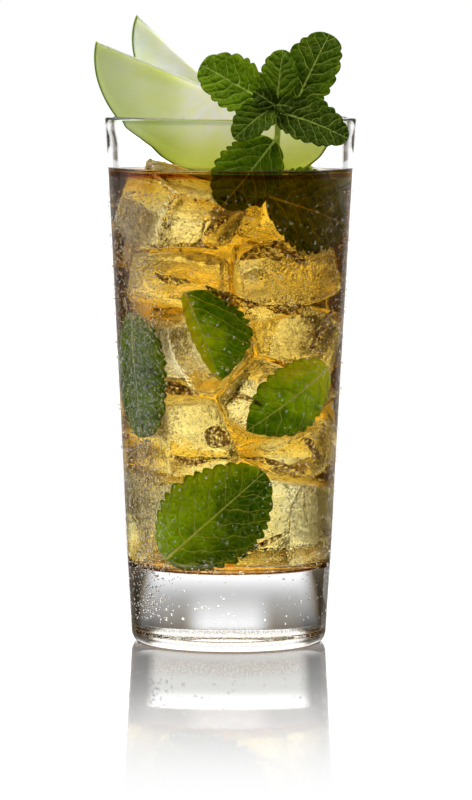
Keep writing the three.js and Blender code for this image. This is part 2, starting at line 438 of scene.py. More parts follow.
def add_attribute(mesh, name, values):
    """One number for each point, which a material reads by its name."""
    layer = mesh.attributes.new(name, "FLOAT", "POINT")
    layer.data.foreach_set("value", np.asarray(values, np.float32).ravel())


def add_uv(mesh, across, along):
    corners = np.empty(len(mesh.loops), np.int32)
    mesh.loops.foreach_get("vertex_index", corners)
    layer = mesh.uv_layers.new(name="UVMap")
    pairs = np.stack([across.ravel()[corners], along.ravel()[corners]], axis=1)
    layer.data.foreach_set("uv", pairs.ravel().astype(np.float32))


def closed_sheet(front, back):
    """Points and quads of a closed sheet from two grids of points, one for each face."""
    rows, columns = front.shape[:2]
    points = np.concatenate([front.reshape(-1, 3), back.reshape(-1, 3)])
    at = np.arange(rows * columns).reshape(rows, columns)
    behind = at + rows * columns
    corners = (at[:-1, :-1], at[:-1, 1:], at[1:, 1:], at[1:, :-1])
    quads = [np.stack(corners, axis=-1).reshape(-1, 4)]
    corners = (behind[:-1, :-1], behind[1:, :-1], behind[1:, 1:], behind[:-1, 1:])
    quads.append(np.stack(corners, axis=-1).reshape(-1, 4))
    rim = np.concatenate([at[0, :-1], at[:-1, -1], at[-1, :0:-1], at[:0:-1, 0]])
    rim_behind = rim + rows * columns
    ahead = np.roll(rim, -1)
    ahead_behind = np.roll(rim_behind, -1)
    quads.append(np.stack([ahead, rim, rim_behind, ahead_behind], axis=-1))
    return points, np.concatenate(quads)


# The turned shapes of the glass and of what fills it


def quarter_round(centre, radii, start, steps):
    """Points along a quarter of an ellipse, from the start angle in degrees."""
    angles = np.radians(np.linspace(start, start + 90, steps + 1))
    return np.stack([centre[0] + radii[0] * np.cos(angles), centre[1] + radii[1] * np.sin(angles)], 1)


def outer_radius(glass, z):
    foot = glass.foot_radius + FOOT_ROUND[0]
    share = (z - FOOT_ROUND[1]) / (WALL_TOP[1] - FOOT_ROUND[1])
    return mix(foot, WALL_TOP[0], share)


def inner_radius(glass, z):
    thinning = smooth_step(z, LIP_START, WALL_TOP[1])
    return outer_radius(glass, z) - mix(glass.wall_thickness, glass.lip_thickness, thinning)


def inner_corner(glass, grow, steps):
    """The inside corner from the flat bottom out to the wall, moved into the glass by grow."""
    z = glass.base_thickness + INNER_ROUND[1]
    centre = (inner_radius(glass, z) - INNER_ROUND[0], z)
    return quarter_round(centre, (INNER_ROUND[0] + grow, INNER_ROUND[1] + grow), -90, steps)


def wall_line(radius, low, high, steps):
    heights = np.linspace(low, high, steps + 2)[1:-1]
    return np.stack([radius(heights), heights], 1)


def flat_line(start, end, height, steps):
    radii = np.linspace(start, end, steps + 1)
    return np.stack([radii, np.full_like(radii, height)], 1)


def glass_profile(glass):
    foot = (glass.foot_radius, FOOT_ROUND[1])
    bead_out = BEAD_RADIUS - BEAD_ROUND
    bead_in = WALL_TOP[0] - glass.lip_thickness + LIP_INSET
    bead_rise = glass.height - BEAD_HIGH
    corner = inner_corner(glass, 0.0, 14)
    underside = flat_line(0.0, glass.foot_radius - 0.0004, 0.0, 22)
    # The underside is pressed a little hollow, so that the glass stands on a ring
    hollow = glass.hollow * (1.0 - smooth_step(underside[:, 0], 0.6 * foot[0], 0.93 * foot[0]))
    underside[:, 1] += hollow
    return np.concatenate(
        [
            underside,
            quarter_round(foot, FOOT_ROUND, -90, 14),
            wall_line(lambda z: outer_radius(glass, z), FOOT_ROUND[1], WALL_TOP[1], 46),
            [WALL_TOP],
            quarter_round((bead_out, BEAD_HIGH), (BEAD_ROUND, bead_rise), 0, 6),
            quarter_round((bead_in, BEAD_HIGH), (LIP_ROUND, bead_rise), 90, 6),
            wall_line(lambda z: inner_radius(glass, z), corner[-1, 1], WALL_TOP[1], 46)[::-1],
            corner[::-1],
            flat_line(corner[0, 0] - 0.0005, 0.0, glass.base_thickness, 16),
        ]
    )


def drink_profile(glass, drink):
    wall_z = drink.level + drink.meniscus_rise
    wall_radius = inner_radius(glass, wall_z)
    corner = inner_corner(glass, INTO_WALL, 10)
    centre = (wall_radius - drink.meniscus_width, wall_z)
    climb = quarter_round(centre, (drink.meniscus_width, drink.meniscus_rise), -90, 10)[::-1]
    return np.concatenate(
        [
            flat_line(0.0, corner[0, 0] - 0.0005, glass.base_thickness - INTO_WALL, 8),
            corner,
            wall_line(lambda z: inner_radius(glass, z) + INTO_WALL, corner[-1, 1], wall_z, 24),
            [(wall_radius + INTO_WALL, wall_z - drop) for drop in EDGE_DROPS],
            climb,
            flat_line(climb[-1, 0] - 0.0003, 0.0, drink.level, 44),
        ]
    )


def turned_tree():
    """Geometry Nodes that turn the object's own points, a profile in X and Z, about the Z axis."""
    inputs = {"Profile": "Geometry", "Facets": "Int", "Material": "Material"}
    nodes, given = new_tree("turned", inputs)
    count = nodes.node(
        "GeometryNodeAttributeDomainSize", {"component": "MESH"}, {"Geometry": given}, "Point Count"
    )
    around = given.other("Facets") + 1
    sockets = {"Size X": 1.0, "Size Y": 1.0, "Vertices X": around, "Vertices Y": count}
    grid = nodes.node("GeometryNodeMeshGrid", None, sockets)
    place = nodes.node("GeometryNodeInputPosition")
    x, y, _ = nodes.axes(place)
    angle = (x + 0.5) * math.tau
    number = nodes.maths("ROUND", (y + 0.5) * (count - 1))
    sampled = nodes.node(
        "GeometryNodeSampleIndex",
        {"data_type": "FLOAT_VECTOR", "domain": "POINT"},
        {"Geometry": given, "Value": place, "Index": number},
    )
    radius, _, height = nodes.axes(sampled)
    turned = nodes.node(
        "ShaderNodeCombineXYZ",
        None,
        {
            "X": radius * nodes.maths("COSINE", angle),
            "Y": radius * nodes.maths("SINE", angle),
            "Z": height,
        },
    )
    shape = nodes.node("GeometryNodeSetPosition", None, {"Geometry": grid, "Position": turned})
    sockets = {"Geometry": shape, "Distance": MERGE_WITHIN}
    shape = nodes.node("GeometryNodeMergeByDistance", None, sockets)
    shape = nodes.node("GeometryNodeSetShadeSmooth", None, {"Geometry": shape})
    return end_tree(nodes, given, shape)


def turned_object(name, profile, facets, finish):
    points = [(radius, 0.0, height) for radius, height in profile]
    made = add_object(name, line_mesh(name, points))
    tree = bpy.data.node_groups.get("turned") or turned_tree()
    grow_by_nodes(made, tree, {"Facets": facets, "Material": finish})
    return made


# Finishes


def glass_finish():
    """Clear, with painted shade that greys the foot and a painted shadow line along its bottom, a stippled
    brown gleam in front, and greenish at the lip.
    """
    finish = Finish("clear_glass")
    where = finish.where()
    _, y, z = finish.axes(where)
    stipple = finish.noise(where, 1700.0, 2.0, 0.6).ranged(0.44, 0.56)
    gleam = stipple * z.ranged(0.0012, 0.003) * z.ranged(0.0055, 0.0085, 1.0, 0.0)
    gleam = gleam * y.ranged(-0.008, 0.0, 1.0, 0.0)
    # Painted shade: the foot is greyer low down, near the floor
    colour = finish.mixed(z.ranged(0.001, 0.006), FOOT_PAINTED_SHADE, ALMOST_CLEAR)
    colour = finish.mixed(gleam * 0.85, colour, FOOT_GLEAM)
    # Painted shadow: a dark line along the bottom of the foot, where it meets the floor
    colour = finish.mixed(z.ranged(0.0003, 0.0011, 0.8, 0.0), colour, FOOT_PAINTED_SHADOW)
    colour = finish.mixed(z.ranged(0.1528, 0.1538), colour, LIP_GREEN)
    ripple = finish.noise(where, 55.0, 1.0)
    return finish.done(finish.clear(colour, 1.5, finish.bump(ripple, 0.1, 0.0004)))


def drink_finish(drink):
    """Clear amber, a little yellower low down, with a deep brown band of painted shade along the edge
    that climbs the wall, and brown swirls at the bottom."""
    finish = Finish("amber_drink")
    where = finish.where()
    _, _, z = finish.axes(where)
    # Painted shade: a deep brown band just under the surface, for the dark line of the edge that climbs the
    # wall
    low = drink.level - drink.band
    band = z.ranged(low - 0.0005, low + 0.0003)
    band = band * z.ranged(drink.level - 0.0003, drink.level - 0.0001, 1.0, 0.0)
    colour = finish.mixed(z.ranged(0.045, 0.08, 1.0, 0.0), WHITE, LOW_DRINK)
    colour = finish.mixed(band, colour, MENISCUS_PAINTED_SHADE)
    bottom = z.ranged(FLOOR_OF_DRINK + 0.0007, FLOOR_OF_DRINK + 0.0027, 1.0, 0.0)
    swirl = finish.noise(where, 480.0, 2.0, 0.6).ranged(0.32, 0.46)
    colour = finish.mixed(bottom * swirl, colour, SWIRL_BROWN)
    sockets = {"Color": rgba(drink.colour), "Density": drink.density}
    volume = finish.node("ShaderNodeVolumeAbsorption", None, sockets)
    return finish.done(finish.clear(colour, 1.345), volume)


def ice_finish(ice):
    """Clear and frosted with fine bumps, mostly where the attribute melt is high."""
    finish = Finish("ice")
    frost = finish.noise(finish.where(), 420.0, 3.0, 0.6)
    bumps = frost * (finish.attribute("melt") * 0.93 + 0.07)
    return finish.done(finish.clear(WHITE, ice.bending, finish.bump(bumps, 0.9, 0.0007)))


def bead_finish(name, bending, dark=WHITE, size=300.0, share=None):
    """Clear, with darker parts of about one over size metres, as many as the attribute share."""
    finish = Finish(name)
    swirl = finish.noise(finish.where(), size, 1.0).ranged(0.46, 0.54)
    if share:
        swirl = swirl * finish.attribute(share)
    return finish.done(finish.clear(finish.mixed(swirl, WHITE, dark), bending))


def mint_finish(leaf, dark, light, vein_colour, see_through, gloss, level):
    """Leaf green, mottled, with pale veins and a fine net of smaller ones between them. What lies
    under the drink's level is painted brown, the shade of the drink that it is seen through."""
    finish = Finish(f"{leaf.name}_green")
    where = finish.where("UV")
    margin = finish.attribute("margin")
    along = finish.attribute("along")
    line = finish.attribute("line")
    gap = finish.maths("ABSOLUTE", line - finish.maths("ROUND", line))
    gap = gap * finish.attribute("spacing") * VEIN_SLANT
    x, _, _ = finish.axes(where)
    aside = finish.maths("ABSOLUTE", x) * UV_LENGTH
    midrib = (aside / (1.3 - along * 0.95)).ranged(0.16, 0.4, 1.0, 0.0)
    side_vein = gap.ranged(0.04, 0.15, 1.0, 0.0) * (1.0 - margin * margin * 0.6) * 0.8
    faint = min(leaf.veins, 1.0)
    vein = finish.maths("MAXIMUM", midrib, side_vein) * faint
    vein = finish.maths("MAXIMUM", vein, along.ranged(0.0, 0.02, 1.0, 0.0))
    net = finish.node(
        "ShaderNodeTexVoronoi",
        {"feature": "DISTANCE_TO_EDGE"},
        {"Vector": where, "Scale": 4.6, "Randomness": 1.0},
        "Distance",
    )
    patches = finish.noise(where, 1.4, 2.0)
    grain = finish.noise(where, 26.0, 3.0, 0.6)
    # Painted light and shade: the tone attribute makes one half and the tip end lighter by the leaf's lean,
    # and its shade scales both greens
    tone = finish.attribute("tone") + (patches - 0.5) * 1.1 + (grain - 0.5) * 0.3
    colour = finish.mixed(tone.ranged(0.0, 1.0), rgba(dark, leaf.shade), rgba(light, leaf.shade))
    pale = rgba(vein_colour, max(leaf.veins, 1.0))
    colour = finish.mixed(net.ranged(0.0, 0.06, 1.0, 0.0) * (0.24 * faint), colour, pale)
    bright = finish.mixed(along.ranged(0.0, 0.5, 1.0, 0.0), pale, rgba(pale, 1.6))
    colour = finish.mixed(vein * 0.9, colour, bright)
    rim = rgba(dark, leaf.shade * 0.6)
    colour = finish.mixed(margin.ranged(0.9, 0.99, 0.0, 0.7), colour, rim)
    # Painted shade: under the drink's level the green is multiplied brown, as the drink colours it
    soaked = finish.mixed(1.0, colour, MINT_PAINTED_DRINK_SHADE, "MULTIPLY")
    _, _, z = finish.axes(finish.where())
    colour = finish.mixed(z.ranged(level - 0.0004, level, 1.0, 0.0), colour, soaked)
    relief = net.ranged(0.0, 0.35) * 0.6 + gap.ranged(0.0, 0.7) * 0.5 + grain * 0.15
    surface = finish.principled(
        Base_Color=colour,
        Roughness=0.34 + grain * 0.16,
        IOR=1.45,
        Specular_IOR_Level=gloss,
        Subsurface_Weight=see_through,
        Subsurface_Radius=(0.9, 1.0, 0.15),
        Subsurface_Scale=0.0016,
        Normal=finish.bump(relief, 0.75, 0.0007),
    )
    return finish.done(surface)


def stem_finish():
    """Fresh yellow-green above the drink, and painted brown in it, the shade of the drink that it is seen
    through.
    """
    finish = Finish("mint_stem")
    where = finish.where()
    tone = finish.noise(where, 300.0, 3.0)
    _, _, z = finish.axes(where)
    fresh = finish.mixed(tone, (0.62, 0.8, 0.07, 1.0), (0.82, 0.92, 0.18, 1.0))
    # Painted shade: brown below the drink's level, where the drink colours the stem
    painted_drink_shade = finish.mixed(tone, (0.2, 0.09, 0.01, 1.0), (0.4, 0.2, 0.03, 1.0))
    surface = finish.principled(
        Base_Color=finish.mixed(z.ranged(0.138, 0.15), painted_drink_shade, fresh),
        Roughness=0.42,
        IOR=1.45,
        Subsurface_Weight=0.3,
        Subsurface_Scale=0.001,
        Normal=finish.bump(tone, 0.3, 0.0003),
    )
    return finish.done(surface)


def apple_finish(apple, piece):
    """Moist flesh with fine streaks from the core outwards, and green skin on the round edge."""
    finish = Finish(piece.name)
    where = finish.where("UV")
    depth = finish.attribute("depth")
    stretched = finish.node(
        "ShaderNodeVectorMath", {"operation": "MULTIPLY"}, {0: where, 1: (1.0, 0.28, 1.0)}
    )
    streaks = finish.noise(stretched, 9.0, 4.0, 0.6)
    clouds = finish.noise(where, 1.3, 3.0)
    cells = finish.node(
        "ShaderNodeTexVoronoi", None, {"Vector": where, "Scale": 24.0, "Randomness": 1.0}, "Distance"
    )
    colour = finish.mixed(clouds.ranged(0.35, 0.65), rgba(apple.flesh), rgba(apple.pale))
    colour = finish.mixed(streaks.ranged(0.45, 0.8, 0.0, 0.2), colour, STREAK_GREEN)
    colour = finish.mixed(depth.ranged(0.0, 0.42, piece.green, 0.0), colour, FLESH_NEAR_SKIN)
    x, _, z = finish.axes(finish.where())
    colour = finish.mixed(z.ranged(0.139, 0.156, 0.9, 0.0), colour, rgba(apple.wet))
    # Painted light and shade across the slice, from its left through its middle to its right
    left, middle, right = piece.light_and_shade
    tone = finish.mixed(x.ranged(-0.036, -0.02), left, middle)
    tone = finish.mixed(x.ranged(-0.0215, -0.008), tone, right)
    colour = finish.mixed(1.0, colour, tone, "MULTIPLY")
    # Painted shade along the straight cut, on the face that the light from above falls on
    colour = finish.mixed(finish.attribute("cut"), colour, CUT_PAINTED_SHADE)
    colour = finish.mixed(finish.attribute("skin"), colour, rgba(apple.skin))
    surface = finish.principled(
        Base_Color=colour,
        Roughness=0.35 + streaks * 0.2,
        IOR=1.4,
        Specular_IOR_Level=0.3,
        Subsurface_Weight=0.9,
        Subsurface_Radius=(1.0, 0.95, 0.5),
        Subsurface_Scale=0.003,
        Normal=finish.bump(cells * 0.5 + streaks * 0.5, 0.16, 0.0004),
    )
    return finish.done(surface)


# Mint


@dataclass
class Leaf:
    """A mint leaf, in millimetres: the midrib's ends, the way it looks, and its shape.

    bow lifts the middle of the midrib and fold the two edges. stalk is the bare length before the
    blade, skew the share by which one half is wider, point how sharp the tip is, and widest is less
    than 1 where the blade is fullest near the stalk. veins is how bright the veins are. shade is how
    bright the green is and lean how much lighter one half and the tip end are: both are painted light
    and shade, for where the leaf lies in the light.
    """

    name: str
    base: tuple
    tip: tuple
    facing: tuple
    width: float
    bow: float
    fold: float
    stalk: float = 0.0
    skew: float = 0.0
    point: float = 0.15
    teeth: int = 12
    widest: float = 0.95
    shade: float = 1.0
    veins: float = 1.0
    lean: tuple = (0.0, 0.0)


SPRIG_LEAVES = [
    Leaf(
        "mint_leaf_left", (11.0, -35.2, 159.4), (-8.6, -35.6, 170.6), (0.08, -0.99, 0.08),
        16.0, 1.2, 0.12, 0.6, point=-0.12, teeth=7, widest=1.02, shade=1.9, veins=0.75,
    ),
    Leaf(
        "mint_leaf_middle", (13.3, -37.8, 160.6), (15.0, -36.0, 174.9), (-0.15, -0.97, 0.1),
        11.4, 0.8, 0.25, point=-0.02, teeth=6, widest=0.86, shade=1.05, veins=0.45,
    ),
    Leaf(
        "mint_leaf_upper_right", (17.6, -33.2, 157.0), (28.4, -29.4, 179.4), (-0.1, -0.96, 0.25),
        16.4, 1.2, 0.1, 0.6, point=-0.1, teeth=7, widest=1.0, shade=0.56, veins=0.6,
    ),
    Leaf(
        "mint_leaf_lower_right", (13.2, -36.4, 157.2), (33.6, -39.4, 149.6), (0.1, -0.88, 0.42),
        14.8, 1.6, 0.12, 0.3, point=-0.02, teeth=7, widest=0.84, shade=0.4, veins=0.5,
    ),
    Leaf(
        "mint_leaf_lower_left", (12.6, -38.0, 158.6), (1.0, -42.0, 149.6), (-0.1, -0.85, 0.5),
        11.4, 1.0, 0.2, 0.3, point=-0.04, teeth=6, widest=0.9, shade=0.68, veins=0.4,
    ),
    # The bud leaves' low shade is painted shade in the sprig's closed middle
    Leaf(
        "mint_bud_leaf_left", (12.8, -38.9, 158.8), (6.6, -40.4, 163.0), (-0.1, -0.94, 0.3),
        6.6, 0.9, 0.2, point=-0.05, teeth=4, shade=0.34, veins=0.3,
    ),
    Leaf(
        "mint_bud_leaf_right", (12.6, -38.9, 159.0), (17.8, -40.4, 158.4), (0.2, -0.9, 0.35),
        6.0, 0.8, 0.2, point=-0.05, teeth=4, shade=0.34, veins=0.3,
    ),
    Leaf(
        "mint_leaf_dipped", (13.4, -29.2, 150.0), (-2.5, -29.6, 129.8), (0.28, -0.96, 0.06),
        19.0, 0.4, -0.03, 1.6, 0.06, -0.05, 9, shade=2.3, veins=1.35,
    ),
    Leaf(
        "mint_leaf_floating", (8.8, -26.0, 133.2), (30.1, -4.6, 123.6), (0.7, -0.71, 0.0),
        25.0, 3.4, 0.02, 1.0, 0.0, -0.05, 10, shade=2.75, veins=1.0,
    ),
]

SUNKEN_LEAVES = [
    Leaf(
        "sunken_leaf_side", (-26.0, -10.6, 98.0), (-23.2, -13.0, 61.5), (-0.9, -0.43, 0.05),
        26.0, 0.8, -0.24, point=-0.1, teeth=11, shade=0.7,
    ),
    Leaf(
        "sunken_leaf_folded", (-12.0, -21.6, 104.8), (-2.5, -24.4, 79.3), (0.05, -0.98, 0.1),
        17.0, 1.4, -0.1, skew=-0.62, point=0.25, teeth=9, shade=1.9, lean=(0.85, 0.0),
    ),
    Leaf(
        "sunken_leaf_right", (26.6, -9.6, 82.6), (4.6, -24.6, 64.8), (0.55, -0.83, 0.05),
        20.5, 2.4, -0.05, 0.8, point=0.3, teeth=10, shade=1.6, lean=(0.15, -0.95),
    ),
    Leaf(
        "sunken_leaf_low", (-17.6, -19.0, 26.2), (9.6, -23.4, 52.6), (-0.1, -0.98, 0.0),
        29.0, 2.6, -0.07, point=0.0, teeth=12, shade=0.95, lean=(-0.6, -0.65),
    ),
]

LEAF_ROWS = 130
LEAF_COLUMNS = 64
LEAF_THICKNESS = 0.45
EDGE_THINNING = 0.45
LEAF_LIFT = 0.12
STALK_HALF_WIDTH = 0.45
TIP_HALF_WIDTH = 0.08
TOOTH_DEPTH = 0.12
SIDE_VEINS = 6.5
LEAST_VEIN_SPACING = 2.6
VEIN_SLANT = 0.75
PUFF_HEIGHT = 0.3
FRILL_HEIGHT = 0.22
BLADE_WAVES = 0.25
MIDRIB_DEPTH = 0.3
# Millimetres of leaf to one unit of its texture
UV_LENGTH = 10.0

STEM_ROUTE = [
    (7.2, -21.6, 129.8),
    (9.8, -21.6, 134.4),
    (12.0, -21.8, 139.6),
    (12.9, -23.8, 146.0),
    (13.3, -27.0, 151.0),
    (13.2, -30.6, 155.4),
    (12.8, -33.6, 159.0),
    (12.7, -34.9, 160.3),
]
STEM_STEPS = 90
STEM_ROUNDING = 0.32
BUD_CENTRE = (13.2, -37.2, 160.1)
BUD_RADII = (1.6, 1.3, 1.7)
BUD_FOLD_DEPTH = 0.14
# A leaf's attributes, all over the bud
BUD_FIELDS = {"line": 0.5, "spacing": 3.0, "along": 0.5, "margin": 0.0, "tone": 0.0}


def waver(first, second, seed):
    """A gentle field of waves between about -1 and 1, the same for the same seed."""
    draw = np.random.default_rng(seed)
    total = np.zeros(np.broadcast(first, second).shape)
    for _ in range(6):
        turn = draw.uniform(0, math.tau)
        rate = draw.uniform(0.6, 1.7)
        shift = draw.uniform(0, math.tau)
        total = total + np.sin(rate * (first * math.cos(turn) + second * math.sin(turn)) + shift)
    return total / 3.0


def leaf_frame(leaf):
    base = np.array(leaf.base)
    along = np.array(leaf.tip) - base
    length = np.linalg.norm(along)
    along = along / length
    across = np.cross(along, np.array(leaf.facing))
    across = across / np.linalg.norm(across)
    return base, along, across, np.cross(across, along), length


def leaf_outline(leaf, blade, place, seed, phase):
    """How full a leaf is along its blade, from 0 to 1, and half its toothed width in millimetres."""
    outline = np.maximum(np.sin(np.pi * blade**leaf.widest), 0.0) ** (0.5 + leaf.point * blade**2)
    side = np.sign(place)
    outline = outline * (1.0 + 0.035 * np.sin(7.0 * blade + 1.7 * seed + 2.0 * side))
    lobe = np.sin(np.pi * (phase - np.floor(phase)) ** 1.5) ** 0.6
    tooth = 1.0 - TOOTH_DEPTH * (1.0 - lobe) * np.abs(place) ** 4
    least = mix(STALK_HALF_WIDTH, TIP_HALF_WIDTH, smooth_step(blade, 0.4, 1.0))
    return outline, np.maximum(leaf.width / 2 * outline * tooth, least)


def leaf_mesh(leaf, finish, seed):
    """A thin closed leaf with a toothed edge, a sunken midrib and swellings between its veins."""
    base, along, across, up, length = leaf_frame(leaf)
    share = np.linspace(0, 1, LEAF_ROWS + 1)[:, None]
    place = np.linspace(-1, 1, LEAF_COLUMNS + 1)[None, :]
    side = np.sign(place)
    blade = np.clip((share * length - leaf.stalk) / (length - leaf.stalk), 0.0, 1.0)
    uneven = 0.02 * np.sin(11.0 * blade + seed) + 0.012 * np.sin(23.0 * blade + 2.0 * seed * side)
    phase = leaf.teeth * (blade + uneven)
    outline, half = leaf_outline(leaf, blade, place, seed, phase)
    aside = half * place * (1.0 + leaf.skew * side)
    run = share * length + 0.0 * place

    reach = np.abs(aside)
    vein_line = run - VEIN_SLANT * reach - 0.03 * reach**2
    vein_line = vein_line + 0.6 * waver(aside, run, seed) + 0.5 * side
    vein_spacing = max(length / SIDE_VEINS, LEAST_VEIN_SPACING)
    number = vein_line / vein_spacing
    side_gap = np.abs(number - np.round(number)) * vein_spacing * VEIN_SLANT
    midrib = np.exp(-((aside / mix(0.55, 0.16, blade)) ** 2))
    puff = 1.0 - np.exp(-((side_gap / 0.8) ** 2))
    puff = puff * (1.0 - np.exp(-((aside / 1.1) ** 2)))
    relief = PUFF_HEIGHT * puff * outline * (1.0 - 0.6 * np.abs(place) ** 3)
    frill = np.abs(place) ** 3 * np.sin(math.tau * phase / 2.0 + 2.0 * side) * outline
    waves = waver(aside / 4.0, run / 4.0, seed + 9) * outline
    lift = leaf.bow * 4 * share * (1 - share) + leaf.fold * reach
    lift = lift + relief + FRILL_HEIGHT * frill + BLADE_WAVES * waves
    thick = LEAF_THICKNESS * mix(1.0, EDGE_THINNING, np.abs(place) ** 2)
    under = thick + MIDRIB_DEPTH * midrib * (1.0 - 0.7 * blade)

    spot = base + run[..., None] * along + aside[..., None] * across
    front = (spot + (lift + LEAF_LIFT)[..., None] * up) * MM
    back = (spot + (lift + LEAF_LIFT - under)[..., None] * up) * MM
    mesh = mesh_from(leaf.name, *closed_sheet(front, back), finish)
    face_outwards(mesh)
    fields = {
        "line": number,
        "spacing": vein_spacing + 0.0 * run,
        "along": blade + 0.0 * run,
        "margin": np.abs(place) + 0.0 * run,
        # Painted light and shade: one half and the tip end lighter, by the leaf's lean
        "tone": 0.45 + leaf.lean[0] * place + leaf.lean[1] * (share - 0.5),
    }
    for name, values in fields.items():
        add_attribute(mesh, name, np.tile(values.ravel(), 2))
    add_uv(mesh, np.tile(aside.ravel(), 2) / UV_LENGTH, np.tile(run.ravel(), 2) / UV_LENGTH + seed)
    return mesh


def stem_tree():
    """Geometry Nodes that run a square section with rounded corners along the object's edges."""
    nodes, given = new_tree("stem", {"Route": "Geometry", "Width": "Float", "Material": "Material"})
    width = given.other("Width")
    path = nodes.node("GeometryNodeMeshToCurve", None, {"Mesh": given})
    path = nodes.node("GeometryNodeCurveSplineType", {"spline_type": "CATMULL_ROM"}, {"Curve": path})
    path = nodes.node("GeometryNodeResampleCurve", None, {"Curve": path, "Count": STEM_STEPS})
    section = nodes.node(
        "GeometryNodeCurvePrimitiveQuadrilateral", None, {"Width": width, "Height": width}
    )
    section = nodes.node(
        "GeometryNodeFilletCurve",
        {"mode": "POLY"},
        {"Curve": section, "Count": 5, "Radius": width * STEM_ROUNDING, "Limit Radius": True},
    )
    shape = nodes.node(
        "GeometryNodeCurveToMesh", None, {"Curve": path, "Profile Curve": section, "Fill Caps": True}
    )
    shape = nodes.node("GeometryNodeSetShadeSmooth", None, {"Geometry": shape})
    return end_tree(nodes, given, shape)


def bud_mesh(finish):
    """The closed middle of the sprig: small folded leaves pressed round each other."""
    shape = bmesh.new()
    bmesh.ops.create_icosphere(shape, subdivisions=5, radius=1.0)
    for point in shape.verts:
        way = point.co.normalized()
        turn = math.atan2(way.z, way.x)
        folds = 0.5 + 0.5 * math.cos(4.0 * turn + 3.0 * way.y)
        point.co = way * (1.0 - BUD_FOLD_DEPTH + BUD_FOLD_DEPTH * folds**2)
        point.co = Vector(BUD_CENTRE) + Vector(BUD_RADII) * point.co
    bmesh.ops.scale(shape, vec=(MM, MM, MM), verts=shape.verts)
    mesh = mesh_of(shape, "mint_bud")
    mesh.shade_smooth()
    mesh.materials.append(finish)
    return mesh


# Apple


# Painted light and shade of each slice at its left, in its middle and at its right
FRONT_LIGHT_AND_SHADE = ((0.72, 0.75, 0.58, 1.0), (0.76, 0.8, 0.5, 1.0), (1.02, 1.01, 1.12, 1.0))
BACK_LIGHT_AND_SHADE = ((0.9, 0.93, 1.2, 1.0), (0.82, 0.82, 1.04, 1.0), (0.68, 0.68, 0.72, 1.0))


@dataclass
class Slice:
    """A half-moon slice on its edge, in millimetres. The round edge is part of an ellipse whose
    centre lies rise above the straight cut, and slope is how far the cut falls towards +X. green
    is how much of the skin's colour the flesh near it has. light_and_shade is painted light and
    shade at the left, the middle and the right."""

    name: str
    centre: tuple
    slope: float
    left: float
    right: float
    depth: float
    rise: float
    hollow: float
    seed: int
    green: float
    light_and_shade: tuple


SLICES = [
    Slice(
        "apple_slice_front", (-3.7, -3.0, 162.4), slope=22.1, left=38.9, right=37.4, depth=24.8,
        rise=3.2, hollow=0.0, seed=3, green=0.8, light_and_shade=FRONT_LIGHT_AND_SHADE,
    ),
    Slice(
        "apple_slice_back", (1.1, 6.3, 160.4), slope=40.0, left=38.4, right=37.4, depth=18.9,
        rise=4.1, hollow=1.1, seed=8, green=0.3, light_and_shade=BACK_LIGHT_AND_SHADE,
    ),
]
SLICE_THICKNESS = 3.6
SLICE_EDGE = 0.55
SLICE_STEPS_ROUND = 220
SLICE_STEPS_DEEP = 74
# How deep each face is dished between the skin and the cut, and how high the knife's waves are
SLICE_DISH = 0.22
KNIFE_WAVES = 0.06
# The notch that the lip presses into the skin is this much larger than the lip
LIP_GAP = 0.3


